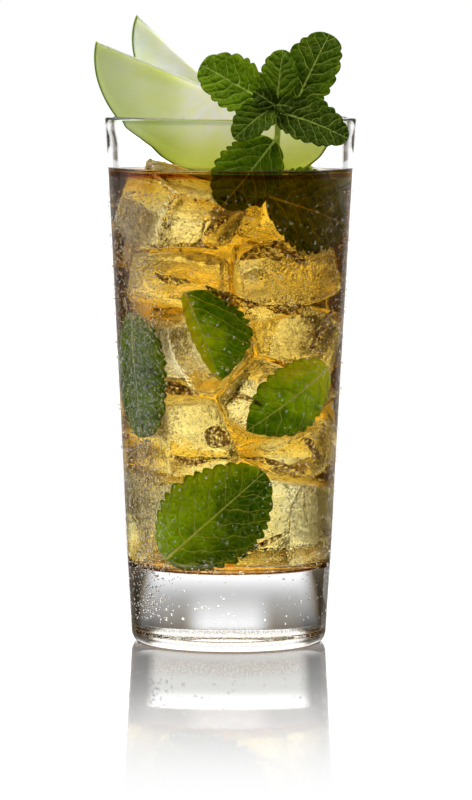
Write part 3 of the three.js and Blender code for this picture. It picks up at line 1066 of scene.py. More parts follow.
def slice_mesh(piece, finish, glass):
    """Rows run from the round skin edge to the straight cut, once on each face."""
    deep = piece.depth + piece.rise
    tip_angle = math.asin(piece.rise / deep)
    angles = np.linspace(math.pi + tip_angle, 2 * math.pi - tip_angle, SLICE_STEPS_ROUND + 1)
    wide = np.where(angles < 1.5 * math.pi, piece.left, piece.right)
    arc = np.stack([wide * np.cos(angles), piece.rise + deep * np.sin(angles)], 1)
    even = (arc[:, 0] - arc[0, 0]) / (arc[-1, 0] - arc[0, 0])
    sag = piece.hollow * 4 * even * (1 - even)
    cut = np.stack([arc[:, 0], -sag], 1)
    depth = (np.linspace(0, 1, SLICE_STEPS_DEEP + 1) ** 1.15)[None, :, None]
    flat = arc[:, None, :] * (1 - depth) + cut[:, None, :] * depth
    across = flat[..., 0]
    height = flat[..., 1]
    # How far each point lies from the outline, for rounding the edges
    from_arc = np.linalg.norm(flat - arc[:, None, :], axis=2) * 0.9
    from_cut = np.abs(height - cut[:, None, 1])
    near = np.minimum(np.minimum(from_arc, from_cut), SLICE_EDGE) / SLICE_EDGE
    rounding = np.sqrt(np.maximum(1 - (1 - near) ** 2, 0.0))
    dish = SLICE_DISH * smooth_step(from_cut, 0.0, 6.0) * smooth_step(from_arc, 0.3, 3.0)
    face = SLICE_THICKNESS / 2 - SLICE_EDGE + SLICE_EDGE * rounding - dish
    knife = KNIFE_WAVES * waver(across / 5.0, height / 5.0, piece.seed) * rounding
    slope = math.radians(piece.slope)
    centre = np.array(piece.centre)
    x = centre[0] + across * math.cos(slope) + height * math.sin(slope)
    z = centre[2] - across * math.sin(slope) + height * math.cos(slope)
    front, back = (np.stack([x, centre[1] + side * (face + knife), z], -1) * MM for side in (-1, 1))
    points, quads = closed_sheet(front, back)
    mesh = mesh_from(piece.name, press_on_lip(points, glass), quads, finish)
    shape = bmesh.new()
    shape.from_mesh(mesh)
    bmesh.ops.remove_doubles(shape, verts=shape.verts, dist=1e-6)
    bmesh.ops.dissolve_degenerate(shape, dist=1e-7, edges=shape.edges)
    shape.to_mesh(mesh)
    shape.free()
    face_outwards(mesh)
    placed = points_of(mesh) / MM - centre
    across = placed[:, 0] * math.cos(slope) - placed[:, 2] * math.sin(slope)
    height = placed[:, 0] * math.sin(slope) + placed[:, 2] * math.cos(slope)
    wide = np.where(across < 0, piece.left, piece.right)
    rim = np.hypot(across / wide, (height - piece.rise) / deep)
    from_skin = (1.0 - rim) * deep
    add_attribute(mesh, "skin", 1.0 - smooth_step(from_skin, 0.25, 0.6))
    add_attribute(mesh, "depth", np.clip(from_skin / piece.depth, 0, 1))
    # The cut attribute marks where the painted shade along the straight cut lies
    add_attribute(mesh, "cut", smooth_step(height, -0.9, -0.25))
    turn = np.arctan2(across, piece.rise - height) * 1.6
    add_uv(mesh, turn * 2.4, rim * 2.8 + piece.seed)
    return mesh


def press_on_lip(points, glass):
    """The lip presses a small notch into the skin that leans on it."""
    gap = LIP_GAP * MM
    radius = np.hypot(points[:, 0], points[:, 1])
    inner = WALL_TOP[0] - glass.lip_thickness - gap
    over = (radius > inner) & (radius < BEAD_RADIUS + gap) & (points[:, 2] > LIP_START)
    pressed = points.copy()
    pressed[over, 2] = np.maximum(points[over, 2], glass.height + gap)
    return pressed


# Ice


@dataclass
class Block:
    """A melting ice block: its middle and sizes in millimetres and its turn in degrees."""

    centre: tuple
    size: tuple
    turn: tuple


ICE_BLOCKS = [
    Block((-13.5, -11.0, 126.0), (25, 23, 22), (24, 14, 28)),
    Block((-12.0, -11.5, 108.5), (27, 24, 16), (-14, 12, -20)),
    Block((13.0, -10.0, 109.5), (29, 24, 19), (16, -14, 16)),
    Block((17.5, -7.0, 91.0), (22, 22, 18), (12, 22, 38)),
    Block((-8.5, -9.0, 87.5), (24, 27, 25), (14, -24, 30)),
    Block((9.5, -9.0, 72.5), (24, 26, 21), (-22, 16, -28)),
    Block((-12.5, -10.0, 63.0), (27, 24, 21), (10, -8, 14)),
    Block((13.0, -6.5, 40.0), (28, 28, 30), (14, 16, -24)),
    Block((-13.0, -4.0, 38.0), (25, 28, 27), (-18, 13, 32)),
    Block((17.5, -7.0, 57.5), (23, 24, 13), (12, -20, 22)),
    Block((13.0, -1.0, 126.0), (21, 21, 18), (22, 18, 40)),
    Block((3.0, 17.0, 44.0), (27, 20, 28), (15, 13, 30)),
    Block((-3.5, 17.0, 68.0), (26, 20, 22), (-16, 18, -20)),
    Block((2.0, 17.5, 91.0), (28, 20, 22), (17, -15, 34)),
    Block((-4.0, 19.0, 120.0), (26, 18, 20), (20, 15, -32)),
]
# Gaps, heights and sizes of the blocks in millimetres
ICE_FROM_WALL = 0.8
ICE_GAP = 1.1
ICE_FLOOR = 23.4
ICE_UNDER_SLICES = 134.8
ICE_VOXEL = 1.05
# Blocks whose middles are nearer than this share of their largest sizes cut each other
ICE_NEIGHBOURS = 0.87
# How far in from the wall a block is cut flat, and how it is then melted round
ICE_CUT_IN = 1.4
MELT_FACTOR = 0.6
MELT_ROUNDS = 4
# Near the bottom, in metres, the blocks stay out of the glass's inner corner
CORNER_HEIGHT = 0.004
CORNER_WIDTH = 0.0022
ICE_OFF_BOTTOM = 0.0004
# The ripples on a block's flat faces, as a share of those on its edges
FLAT_RIPPLE = 0.12


@dataclass
class Seam:
    """A rippled crack in the ice, in millimetres: its two ends, width and the way it faces. dark is
    how brown it is, a painted shade for the dark lines along the ice's edges."""

    start: tuple
    end: tuple
    width: float
    facing: tuple
    bend: float = 0.0
    dark: float = 1.0


SEAM_STEP = 0.22
SEAM_SWELL = 0.34
SEAM_FROM_WALL = 0.5
SEAM_SEED = 60
SEAMS = [
    Seam((2.5, -23.5, 114.8), (20.5, -20.8, 114.0), 6.0, (0.1, -0.85, -0.5), 2.6),
    Seam((-6.5, -24.3, 107.0), (9.5, -24.9, 101.0), 3.2, (0.1, -0.85, -0.5), -1.5),
    Seam((9.5, -24.5, 101.0), (22.5, -18.4, 100.5), 3.2, (0.2, -0.85, -0.5), -1.0),
    Seam((-20.5, -19.8, 109.8), (-10.5, -24.4, 108.2), 3.0, (-0.2, -0.85, -0.5), -0.8),
    Seam((-15.0, -23.5, 118.3), (-3.0, -25.5, 117.5), 1.8, (0.0, -0.85, 0.5), 0.8),
    Seam((-7.0, -25.0, 121.5), (0.0, -25.0, 127.0), 2.2, (0.0, -0.9, 0.3), 0.5),
    Seam((-22.5, -16.0, 77.0), (-8.0, -24.0, 75.2), 3.6, (-0.3, -0.85, -0.4), 0.8),
    Seam((-6.8, -24.6, 64.4), (0.3, -24.8, 61.6), 5.2, (0.1, -0.9, 0.4)),
    Seam((-16.5, -21.6, 57.5), (-6.0, -24.8, 56.0), 2.4, (-0.1, -0.9, 0.4), -1.0),
    Seam((4.0, -24.4, 57.0), (21.0, -17.2, 51.5), 1.8, (0.2, -0.9, -0.3), 0.8),
    Seam((20.5, -18.2, 48.0), (16.6, -20.2, 34.5), 4.2, (0.1, -0.98, 0.1), dark=0.0),
    Seam((20.9, -18.0, 48.0), (21.8, -15.5, 36.5), 3.2, (0.4, -0.9, 0.1), dark=0.0),
    Seam((3.0, -25.0, 27.5), (17.0, -21.0, 35.0), 1.6, (0.1, -0.95, -0.2), 0.6),
    Seam((-27.8, -12.0, 120.0), (-22.5, -18.5, 129.0), 4.0, (-0.5, -0.8, 0.3), dark=0.3),
    Seam((-28.3, -9.0, 112.0), (-26.0, -14.0, 122.0), 3.0, (-0.6, -0.75, 0.2), dark=0.3),
    Seam((-24.8, -11.8, 55.0), (-21.5, -16.5, 61.0), 4.0, (-0.6, -0.7, 0.3), dark=0.3),
    Seam((21.5, -17.0, 87.0), (27.5, -9.0, 99.0), 3.0, (0.6, -0.75, 0.0), 0.8),
    Seam((24.5, -12.0, 55.0), (20.5, -18.0, 62.0), 2.4, (0.6, -0.75, 0.0), 0.8),
    Seam((0.5, -25.0, 75.0), (9.0, -25.0, 72.0), 1.8, (0.0, -0.95, -0.2), 0.8),
]


def cut_away(shape, point, normal):
    """Cuts off what lies beyond a plane and closes the cut."""
    everything = shape.verts[:] + shape.edges[:] + shape.faces[:]
    cut = bmesh.ops.bisect_plane(
        shape, geom=everything, plane_co=point, plane_no=normal, clear_outer=True
    )
    rim = [part for part in cut["geom_cut"] if isinstance(part, bmesh.types.BMEdge)]
    if len(rim) > 2:
        bmesh.ops.edgeloop_fill(shape, edges=rim)


def leaf_planes(block, leaves):
    """Planes that keep a block behind the leaves in front of it, each a point and a normal."""
    planes = []
    centre = Vector(block.centre)
    reach = max(block.size) * 0.75
    for leaf in leaves:
        normal = Vector(leaf_frame(leaf)[3])
        middle = (Vector(leaf.base) + Vector(leaf.tip)) / 2
        apart = middle - centre
        if (apart - normal * apart.dot(normal)).length > reach + leaf.width * 0.3:
            continue
        lowest = min(0.0, leaf.fold * leaf.width / 2) - 1.0
        point = Vector(leaf.base) + normal * lowest
        if apart.dot(normal) > 0:
            planes.append((point, normal))
    return planes


def block_mesh(number, block, leaves, wall):
    """One block, cut clear of its neighbours, the leaves and the bottom, then melted round."""
    shape = bmesh.new()
    bmesh.ops.create_cube(shape, size=1.0)
    turn = Euler([math.radians(angle) for angle in block.turn]).to_matrix().to_4x4()
    place = Matrix.Translation(block.centre) @ turn @ Matrix.Diagonal((*block.size, 1.0))
    bmesh.ops.transform(shape, matrix=place, verts=shape.verts)
    centre = Vector(block.centre)
    planes = [(Vector((0, 0, ICE_FLOOR)), Vector((0, 0, -1)))]
    for other_number, other in enumerate(ICE_BLOCKS):
        if other_number == number:
            continue
        apart = Vector(other.centre) - centre
        size = sum(block.size) / (sum(block.size) + sum(other.size))
        if apart.length < (max(block.size) + max(other.size)) * ICE_NEIGHBOURS:
            direction = apart.normalized()
            planes.append((centre + apart * size - direction * ICE_GAP / 2, direction))
    # All but the first, which rises in front of them, stay under the slices
    if number > 0:
        planes.append((Vector((0, 0, ICE_UNDER_SLICES)), Vector((0, 0, 1))))
    planes += leaf_planes(block, leaves)
    outward = Vector((centre.x, centre.y, 0)).normalized()
    planes.append((outward * (wall - ICE_CUT_IN), outward))
    for point, normal in planes:
        cut_away(shape, point, normal)
    bmesh.ops.scale(shape, vec=(MM, MM, MM), verts=shape.verts)
    made = add_object("block", mesh_of(shape, "block"))
    remesh = made.modifiers.new("even", "REMESH")
    remesh.mode = "VOXEL"
    remesh.voxel_size = ICE_VOXEL * MM
    melt = made.modifiers.new("melt", "SMOOTH")
    melt.factor = MELT_FACTOR
    melt.iterations = MELT_ROUNDS
    mesh = baked(made)
    bpy.data.objects.remove(made)
    return mesh


def ripple_block(mesh, block, seed, glass, ice):
    """Broad dents over a block and fine ripples along its edges, clear of the wall. Returns its
    points and how near an edge each is, from 0 to 1."""
    points = points_of(mesh)
    normals = normals_of(mesh)
    shift = Vector((seed * 3.7, seed * 1.3, seed * 7.1))
    axes = np.array(Euler([math.radians(angle) for angle in block.turn]).to_matrix())
    flatness = np.abs(normals @ axes).max(axis=1)
    edge = smooth_step(1.0 - flatness, 0.01, 0.16)
    heights = np.empty(len(points))
    for index, point in enumerate(points):
        spot = Vector(point / MM)
        broad = noise.noise(spot / ice.dent_size * MM + shift)
        fine = noise.noise(spot / ice.ripple_size * MM + shift * 2)
        strength = mix(FLAT_RIPPLE, 1.0, edge[index])
        heights[index] = broad * ice.dent_depth + fine * ice.ripple_depth * strength
    points = points + normals * heights[:, None]
    radius = np.hypot(points[:, 0], points[:, 1])
    most = inner_radius(glass, points[:, 2]) - ICE_FROM_WALL * MM
    bottom = glass.base_thickness
    corner = smooth_step(points[:, 2], bottom, bottom + CORNER_HEIGHT)
    most = most - (1 - corner) * CORNER_WIDTH
    points[:, :2] *= np.minimum(1.0, most / np.maximum(radius, 1e-6))[:, None]
    points[:, 2] = np.maximum(points[:, 2], bottom + ICE_OFF_BOTTOM)
    return points, edge


def seam_shell(seam, seed, glass):
    """A thin rippled crack, as points and faces."""
    start = np.array(seam.start)
    along = np.array(seam.end) - start
    length = np.linalg.norm(along)
    along = along / length
    up = np.array(seam.facing) - along * np.dot(seam.facing, along)
    up = up / np.linalg.norm(up)
    across = np.cross(up, along)
    share = np.linspace(0, 1, int(length / SEAM_STEP) + 8)[:, None]
    place = np.linspace(-1, 1, int(seam.width / SEAM_STEP) + 6)[None, :]
    outline = np.sqrt(np.maximum(np.sin(np.pi * share), 0.0)) + 0.02
    ragged = 1.0 + 0.25 * waver(share * length / 1.5, 0.0 * share, seed)
    run = share * length + 0.0 * place
    aside = place * outline * ragged * seam.width / 2
    lift = seam.bend * 4 * share * (1 - share)
    ripple = 0.22 * waver(run / 0.16, aside / 0.26, seed + 5)
    ripple = ripple + 0.4 * waver(run / 0.7, aside / 0.7, seed + 6)
    swell = SEAM_SWELL * np.sqrt(np.maximum(1.0 - place**2, 0.0)) * np.sqrt(outline)
    middle = start + run[..., None] * along + aside[..., None] * across
    middle[..., 2] += lift
    rough = 0.2 * waver(run / 0.3, aside / 0.3, seed + 7)
    ripple = ripple * mix(0.3, 1.0, seam.dark)
    front = middle + (ripple + swell * (1.0 + rough))[..., None] * up
    back = middle + (ripple - swell)[..., None] * up
    points, quads = closed_sheet(front * MM, back * MM)
    radius = np.hypot(points[:, 0], points[:, 1])
    most = inner_radius(glass, points[:, 2]) - SEAM_FROM_WALL * MM
    points[:, :2] *= np.minimum(1.0, most / radius)[:, None]
    mesh = mesh_from("seam", points, quads)
    face_outwards(mesh)
    faces = faces_of(mesh)
    bpy.data.meshes.remove(mesh)
    return points, faces


# Beads in the ice. Where none have gathered there are still a few, as a share of a crowd
LEAST_SPECKS = 0.06
# How deep the beads lie, as a share of their width
SPECK_SUNK = 2.6
SPECK_SEED = 11
# Rings of the small balls that the beads and the dew are made of
BALL_RINGS = 3


def speck_tree():
    """Geometry Nodes that scatter long specks just under the skin, where the ice has melted."""
    inputs = {
        "Ice": "Geometry",
        "Density": "Float",
        "Length": "Float",
        "Width": "Float",
        "Seed": "Int",
        "Material": "Material",
    }
    nodes, given = new_tree("specks", inputs)
    width = given.other("Width")
    seed = given.other("Seed")
    melt = nodes.node(
        "GeometryNodeInputNamedAttribute", {"data_type": "FLOAT"}, {"Name": "melt"}, "Attribute"
    )
    cluster = nodes.noise(nodes.node("GeometryNodeInputPosition"), 110.0, 1.0).ranged(0.42, 0.6)
    crowd = given.other("Density") * (melt * cluster + LEAST_SPECKS)
    points = scattered_points(nodes, given, crowd)
    turns = points.other("Rotation")
    inwards = nodes.node(
        "ShaderNodeVectorMath",
        {"operation": "SCALE"},
        {0: points.other("Normal"), "Scale": width * -SPECK_SUNK},
    )
    sunk = nodes.node("GeometryNodeSetPosition", None, {"Geometry": points, "Offset": inwards})
    length = given.other("Length") * nodes.drawn(0.35, 1.0, seed)
    scale = nodes.node("ShaderNodeCombineXYZ", None, {"X": length, "Y": width, "Z": width})
    specks = set_on(nodes, sunk, turns, 4, scale)
    turn = nodes.node(
        "FunctionNodeRandomValue",
        {"data_type": "FLOAT_VECTOR"},
        {0: (0.0, 0.0, 0.0), 1: (0.0, 0.0, math.tau), "Seed": seed},
        0,
    )
    specks = nodes.node("GeometryNodeRotateInstances", None, {"Instances": specks, "Rotation": turn})
    return end_tree(nodes, given, specks)


# Settings


class GlassSettings(bpy.types.PropertyGroup):
    """Sizes of the glass."""

    height: FloatProperty(
        name="Height", description="Height of the glass", default=0.155, unit="LENGTH"
    )
    foot_radius: FloatProperty(
        name="Foot radius", description="Radius of the flat foot", default=0.0268, unit="LENGTH"
    )
    wall_thickness: FloatProperty(
        name="Wall", description="Thickness of the side wall", default=0.00295, unit="LENGTH"
    )
    lip_thickness: FloatProperty(
        name="Lip", description="Thickness of the wall at the lip", default=0.0022, unit="LENGTH"
    )
    base_thickness: FloatProperty(
        name="Base", description="Thickness of the solid base", default=0.0225, unit="LENGTH"
    )
    hollow: FloatProperty(
        name="Hollow", description="How far the underside is pressed in", default=0.0006, unit="LENGTH"
    )
    facets: IntProperty(name="Facets", description="Facets round the glass", default=256, min=32)


class DrinkSettings(bpy.types.PropertyGroup):
    """Level, edge and colour of the drink."""

    level: FloatProperty(
        name="Level", description="Height of the surface", default=0.1392, unit="LENGTH"
    )
    meniscus_rise: FloatProperty(
        name="Edge rise", description="How far it climbs the wall", default=0.001, unit="LENGTH"
    )
    meniscus_width: FloatProperty(
        name="Edge width", description="How wide that climb is", default=0.0019, unit="LENGTH"
    )
    band: FloatProperty(
        name="Band", description="Height of the dark band under the surface", default=0.0014, unit="LENGTH"
    )
    colour: FloatVectorProperty(
        name="Colour",
        description="Light that a thickness of 1 over the density lets through",
        default=(0.905, 0.778, 0.2),
        subtype="COLOR",
    )
    density: FloatProperty(name="Density", description="Strength of the colour", default=128.0)


class IceSettings(bpy.types.PropertyGroup):
    """Melt marks and refraction of the ice."""

    dent_size: FloatProperty(
        name="Dent size", description="Size of broad dents", default=0.010, unit="LENGTH"
    )
    dent_depth: FloatProperty(
        name="Dent depth", description="Depth of broad dents", default=0.0007, unit="LENGTH"
    )
    ripple_size: FloatProperty(
        name="Ripple size", description="Size of fine ripples", default=0.0022, unit="LENGTH"
    )
    ripple_depth: FloatProperty(
        name="Ripple depth", description="Depth of fine ripples", default=0.0006, unit="LENGTH"
    )
    specks: FloatProperty(name="Specks", description="Specks to a square metre", default=900000.0)
    speck_length: FloatProperty(
        name="Speck length", description="Half the longest speck", default=0.0007, unit="LENGTH"
    )
    speck_width: FloatProperty(
        name="Speck width", description="Half a speck's width", default=0.00016, unit="LENGTH"
    )
    bending: FloatProperty(name="Refraction", description="Refractive index", default=1.56)


class MintSettings(bpy.types.PropertyGroup):
    """Colours of the mint."""

    stem_width: FloatProperty(
        name="Stem", description="Width of the stem", default=0.0017, unit="LENGTH"
    )
    dark: FloatVectorProperty(
        name="Dark", description="Shaded green", default=(0.022, 0.046, 0.001), subtype="COLOR"
    )
    light: FloatVectorProperty(
        name="Light", description="Lighter green", default=(0.072, 0.128, 0.003), subtype="COLOR"
    )
    vein: FloatVectorProperty(
        name="Veins", description="Colour of the veins", default=(0.36, 0.44, 0.08), subtype="COLOR"
    )
    # The sunken leaves' greens are brighter than the sprig's: painted light, for the light that shines
    # through them in the drink
    sunken_lit_vein: FloatVectorProperty(
        name="Wet veins", description="Veins of sunken leaves", default=(0.75, 0.85, 0.25), subtype="COLOR"
    )
    sunken_lit_dark: FloatVectorProperty(
        name="Wet dark",
        description="Shaded green of sunken leaves",
        default=(0.065, 0.17, 0.002),
        subtype="COLOR",
    )
    sunken_lit_light: FloatVectorProperty(
        name="Wet light",
        description="Lighter green of sunken leaves",
        default=(0.46, 0.78, 0.006),
        subtype="COLOR",
    )


class AppleSettings(bpy.types.PropertyGroup):
    """Colours of the apple."""

    flesh: FloatVectorProperty(
        name="Flesh", description="Colour of the flesh", default=(0.93, 0.96, 0.6), subtype="COLOR"
    )
    pale: FloatVectorProperty(
        name="Pale flesh", description="Colour of drier flesh", default=(0.97, 0.98, 0.82), subtype="COLOR"
    )
    wet: FloatVectorProperty(
        name="Wet flesh", description="Colour of soaked flesh", default=(0.76, 0.8, 0.05), subtype="COLOR"
    )
    skin: FloatVectorProperty(
        name="Skin", description="Colour of the skin", default=(0.13, 0.2, 0.01), subtype="COLOR"
    )


class DewSettings(bpy.types.PropertyGroup):
    """How the outside of the glass is beaded."""

    drops: IntProperty(name="Drops", description="About how many drops", default=13000, min=0)
    least: FloatProperty(name="Least", description="Smallest radius", default=0.00023, unit="LENGTH")
    largest: FloatProperty(name="Largest", description="Largest radius", default=0.00055, unit="LENGTH")
    seed: IntProperty(name="Seed", description="Order of the drops", default=7)


class StageSettings(bpy.types.PropertyGroup):
    """Light and floor."""

    back: FloatProperty(name="Back", description="Brightness of the white back", default=2.2)
    sides: FloatProperty(name="Sides", description="Brightness from the sides", default=0.06)
    front: FloatProperty(name="Front", description="Brightness from the camera's side", default=0.02)
    top: FloatProperty(name="Top", description="Brightness from above", default=2.6)
    table: FloatProperty(
        name="Table", description="Brightness of the floor that lights the glass", default=0.53
    )
    softbox: FloatProperty(
        name="Softbox", description="Brightness of the panel at the left", default=0.22
    )
    gloss: FloatProperty(name="Gloss", description="Share of mirror in the floor at the glass", default=0.8)


# Operators


class MOJITO_OT_glass(bpy.types.Operator):
    """Turn the glass from its profile"""

    bl_idname = "mojito.make_glass"
    bl_label = "Glass"

    def execute(self, context):
        glass = context.scene.mojito_glass
        made = turned_object("tall_glass", glass_profile(glass), glass.facets, glass_finish())
        face_outwards(made.data)
        finish_piece(made, "clear_glass", "glass")
        return {"FINISHED"}


class MOJITO_OT_drink_and_ice(bpy.types.Operator):
    """Pour the drink up to its level, with a hollow for each block of ice, and add the ice"""

    bl_idname = "mojito.make_drink_and_ice"
    bl_label = "Drink and ice"

    def execute(self, context):
        glass = context.scene.mojito_glass
        drink = context.scene.mojito_drink
        ice = context.scene.mojito_ice
        body = Heap()
        poured = turned_object("poured", drink_profile(glass, drink), DRINK_FACETS, None)
        face_outwards(poured.data)
        body.add(self.raised_surface(poured.data, drink), faces_of(poured.data))
        bpy.data.objects.remove(poured)
        leaves = SUNKEN_LEAVES + [leaf for leaf in SPRIG_LEAVES if leaf.tip[2] < drink.level / MM]
        blocks = Heap()
        for number, block in enumerate(ICE_BLOCKS):
            wall = inner_radius(glass, block.centre[2] * MM) / MM
            mesh = block_mesh(number, block, leaves, wall)
            points, edge = ripple_block(mesh, block, number, glass, ice)
            move_points(mesh, points)
            normals = normals_of(mesh)
            faces = faces_of(mesh)
            bpy.data.meshes.remove(mesh)
            blocks.add(points + normals * ICE_SKIN, faces, edge)
            hollow = points - normals * ICE_SKIN
            hollow[:, 2] = np.minimum(hollow[:, 2], drink.level - ICE_SKIN)
            body.add(hollow, [face[::-1] for face in faces])
        seams = Heap()
        for seed, seam in enumerate(SEAMS, SEAM_SEED):
            points, faces = seam_shell(seam, seed, glass)
            seams.add(points, faces, np.full(len(points), seam.dark))
        self.add_specks(blocks, ice)
        body.piece("drink_body", drink_finish(drink), "amber_drink", "drink")
        blocks.piece("ice", ice_finish(ice), "clear_glass", field="melt")
        # The seams' brown is painted shade, for the dark lines along the ice's edges
        seam_look = bead_finish("ice_seam", 1.5, SEAM_PAINTED_SHADE, 900.0, "dark")
        seams.piece("ice_seams", seam_look, "clear_glass", field="dark")
        return {"FINISHED"}

    def add_specks(self, blocks, ice):
        """The specks trapped in the ice, as a piece of their own. They are scattered over flat
        faces, because a smooth mesh would turn them another way."""
        mesh = bpy.data.meshes.new("ice_specks")
        mesh.from_pydata(np.concatenate(blocks.points).tolist(), [], blocks.faces)
        add_attribute(mesh, "melt", np.concatenate(blocks.numbers))
        made = add_object("ice_specks", mesh)
        inputs = {
            "Density": ice.specks,
            "Length": ice.speck_length,
            "Width": ice.speck_width,
            "Seed": SPECK_SEED,
            # The specks' brown is painted shade, for the dark lines in the ice
            "Material": bead_finish("ice_speck", 1.5, SPECK_PAINTED_SHADE, 240.0),
        }
        grow_by_nodes(made, speck_tree(), inputs)
        finish_piece(made, "clear_glass")

    def raised_surface(self, mesh, drink):
        """The shell's points, with the surface raised where it wets the apple and the mint."""
        points = points_of(mesh)
        garnish = []
        for name in ("apple_slice_front", "apple_slice_back", "mint_stem", "mint_leaf_dipped"):
            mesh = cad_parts[name].data
            corners = [point.co.copy() for point in mesh.vertices]
            garnish.append(BVHTree.FromPolygons(corners, faces_of(mesh)))
        on_top = np.where(points[:, 2] > drink.level - 1e-5)[0]
        for index in on_top:
            near = min(tree.find_nearest(Vector(points[index]))[3] for tree in garnish)
            points[index, 2] += WET_RISE * math.exp(-near / WET_REACH)
        return points


class MOJITO_OT_sunken_leaves(bpy.types.Operator):
    """Lay the sunken mint leaves between the ice and the wall"""

    bl_idname = "mojito.make_sunken_leaves"
    bl_label = "Sunken leaves"

    def execute(self, context):
        mint = context.scene.mojito_mint
        for seed, leaf in enumerate(SUNKEN_LEAVES, 20):
            # Painted light: the sunken leaves take the brighter greens
            colours = (mint.sunken_lit_dark, mint.sunken_lit_light, mint.sunken_lit_vein)
            finish = mint_finish(leaf, *colours, see_through=0.8, gloss=0.03, level=0.0)
            made = add_object(leaf.name, leaf_mesh(leaf, finish, seed))
            finish_piece(made, "mint_leaf")
        return {"FINISHED"}


class MOJITO_OT_sprig(bpy.types.Operator):
    """Grow the stem, the bud and the leaves that lean over the rim"""

    bl_idname = "mojito.make_sprig"
    bl_label = "Mint sprig"

    def execute(self, context):
        mint = context.scene.mojito_mint
        level = context.scene.mojito_drink.level
        finishes = {}
        for seed, leaf in enumerate(SPRIG_LEAVES, 1):
            colours = (mint.dark, mint.light, mint.vein)
            finish = mint_finish(leaf, *colours, see_through=0.35, gloss=0.02, level=level)
            finishes[leaf.name] = finish
            made = add_object(f"{leaf.name}_blade", leaf_mesh(leaf, finish, seed))
            finish_piece(made, "mint_leaf", leaf.name)
        # The bud takes a bud leaf's darkened green, painted shade in the sprig's middle
        bud = add_object("mint_bud_folds", bud_mesh(finishes["mint_bud_leaf_right"]))
        for name, value in BUD_FIELDS.items():
            add_attribute(bud.data, name, np.full(len(bud.data.vertices), value))
        finish_piece(bud, "mint_leaf", "mint_bud")
        route = [Vector(point) * MM for point in STEM_ROUTE]
        stem = add_object("mint_stem_square", line_mesh("mint_stem_square", route))
        grow_by_nodes(stem, stem_tree(), {"Width": mint.stem_width, "Material": stem_finish()})
        face_outwards(stem.data)
        finish_piece(stem, "mint_stem", "mint_stem")
        return {"FINISHED"}


class MOJITO_OT_apple(bpy.types.Operator):
    """Cut the apple slices"""

    bl_idname = "mojito.make_apple"
    bl_label = "Apple slices"

    def execute(self, context):
        glass = context.scene.mojito_glass
        for piece in SLICES:
            finish = apple_finish(context.scene.mojito_apple, piece)
            made = add_object(f"{piece.name}_flesh", slice_mesh(piece, finish, glass))
            finish_piece(made, "apple", piece.name)
        return {"FINISHED"}


# Dew lies on the wall from DEW_LOW to DEW_HIGH. It is densest at DEW_MIDDLE, round to the left of
# the front. Elsewhere there is only a share of that, which DEW_CROWDING makes up for
DEW_LOW = 0.0045
DEW_HIGH = 0.137
DEW_FACETS = 96
DEW_MIDDLE = math.radians(52)
DEW_SPREAD = math.radians(24)
DEW_ELSEWHERE = 0.08
DEW_CROWDING = 3.4
DROP_FLATNESS = 0.7


def dew_tree():
    """Geometry Nodes that scatter flat drops over the object's own faces, mostly at the left."""
    inputs = {
        "Wall": "Geometry",
        "Density": "Float",
        "Least": "Float",
        "Largest": "Float",
        "Seed": "Int",
        "Material": "Material",
    }
    nodes, given = new_tree("dew", inputs)
    x, y, z = nodes.axes(nodes.node("GeometryNodeInputPosition"))
    turn = nodes.maths("ARCTAN2", x, 0.0 - y)
    beside = nodes.maths("ABSOLUTE", turn + DEW_MIDDLE)
    crowd = beside.ranged(0.0, DEW_SPREAD, 1.0, DEW_ELSEWHERE)
    # The clear base is drier, and dry behind, where drops would show through it
    base = nodes.maths("LESS_THAN", z, FLOOR_OF_DRINK)
    crowd = crowd * (1.0 - base * (1.0 - y.ranged(-0.002, 0.002, 0.6, 0.0)))
    points = scattered_points(nodes, given, given.other("Density") * crowd)
    least = given.other("Least")
    radius = nodes.drawn(0.0, 1.0, given.other("Seed")) ** 4
    radius = least + radius * (given.other("Largest") - least)
    sizes = {"X": radius * nodes.drawn(0.6, 1.6), "Y": radius, "Z": radius * DROP_FLATNESS}
    scale = nodes.node("ShaderNodeCombineXYZ", None, sizes)
    drops = set_on(nodes, points, points.other("Rotation"), 6, scale)
    return end_tree(nodes, given, drops)


class MOJITO_OT_dew(bpy.types.Operator):
    """Bead the outside of the glass with dew"""

    bl_idname = "mojito.make_dew"
    bl_label = "Dew"

    def execute(self, context):
        glass = context.scene.mojito_glass
        dew = context.scene.mojito_dew
        wall = wall_line(lambda z: outer_radius(glass, z), DEW_LOW, DEW_HIGH, 40)
        made = turned_object("dew", wall, DEW_FACETS, None)
        widths = outer_radius(glass, DEW_LOW) + outer_radius(glass, DEW_HIGH)
        area = math.pi * widths * (DEW_HIGH - DEW_LOW)
        inputs = {
            "Density": dew.drops / area * DEW_CROWDING,
            "Least": dew.least,
            "Largest": dew.largest,
            "Seed": dew.seed,
            "Material": bead_finish("dew", 1.333),
        }
        grow_by_nodes(made, dew_tree(), inputs)
        finish_piece(made, "clear_glass")
        return {"FINISHED"}


def place_camera():
    """The photograph's viewpoint, from its pitch, yaw and roll."""
    forward = Vector(
        (
            math.sin(CAMERA_YAW) * math.cos(CAMERA_PITCH),
            math.cos(CAMERA_YAW) * math.cos(CAMERA_PITCH),
            -math.sin(CAMERA_PITCH),
        )
    )
    level = forward.cross(Vector((0, 0, 1))).normalized()
    upright = level.cross(forward)
    right = level * math.cos(CAMERA_ROLL) + upright * math.sin(CAMERA_ROLL)
    up = right.cross(forward)
    data = bpy.data.cameras.new("camera")
    data.sensor_width = SENSOR
    data.lens = SENSOR * FOCAL_PIXELS / PICTURE_HEIGHT
    data.clip_start = 0.1
    data.clip_end = 20
    camera = bpy.data.objects.new("camera", data)
    turned = Matrix((right, up, -forward)).transposed().to_4x4()
    camera.matrix_world = Matrix.Translation(CAMERA_PLACE) @ turned
    bpy.context.scene.collection.objects.link(camera)
    bpy.context.scene.camera = camera


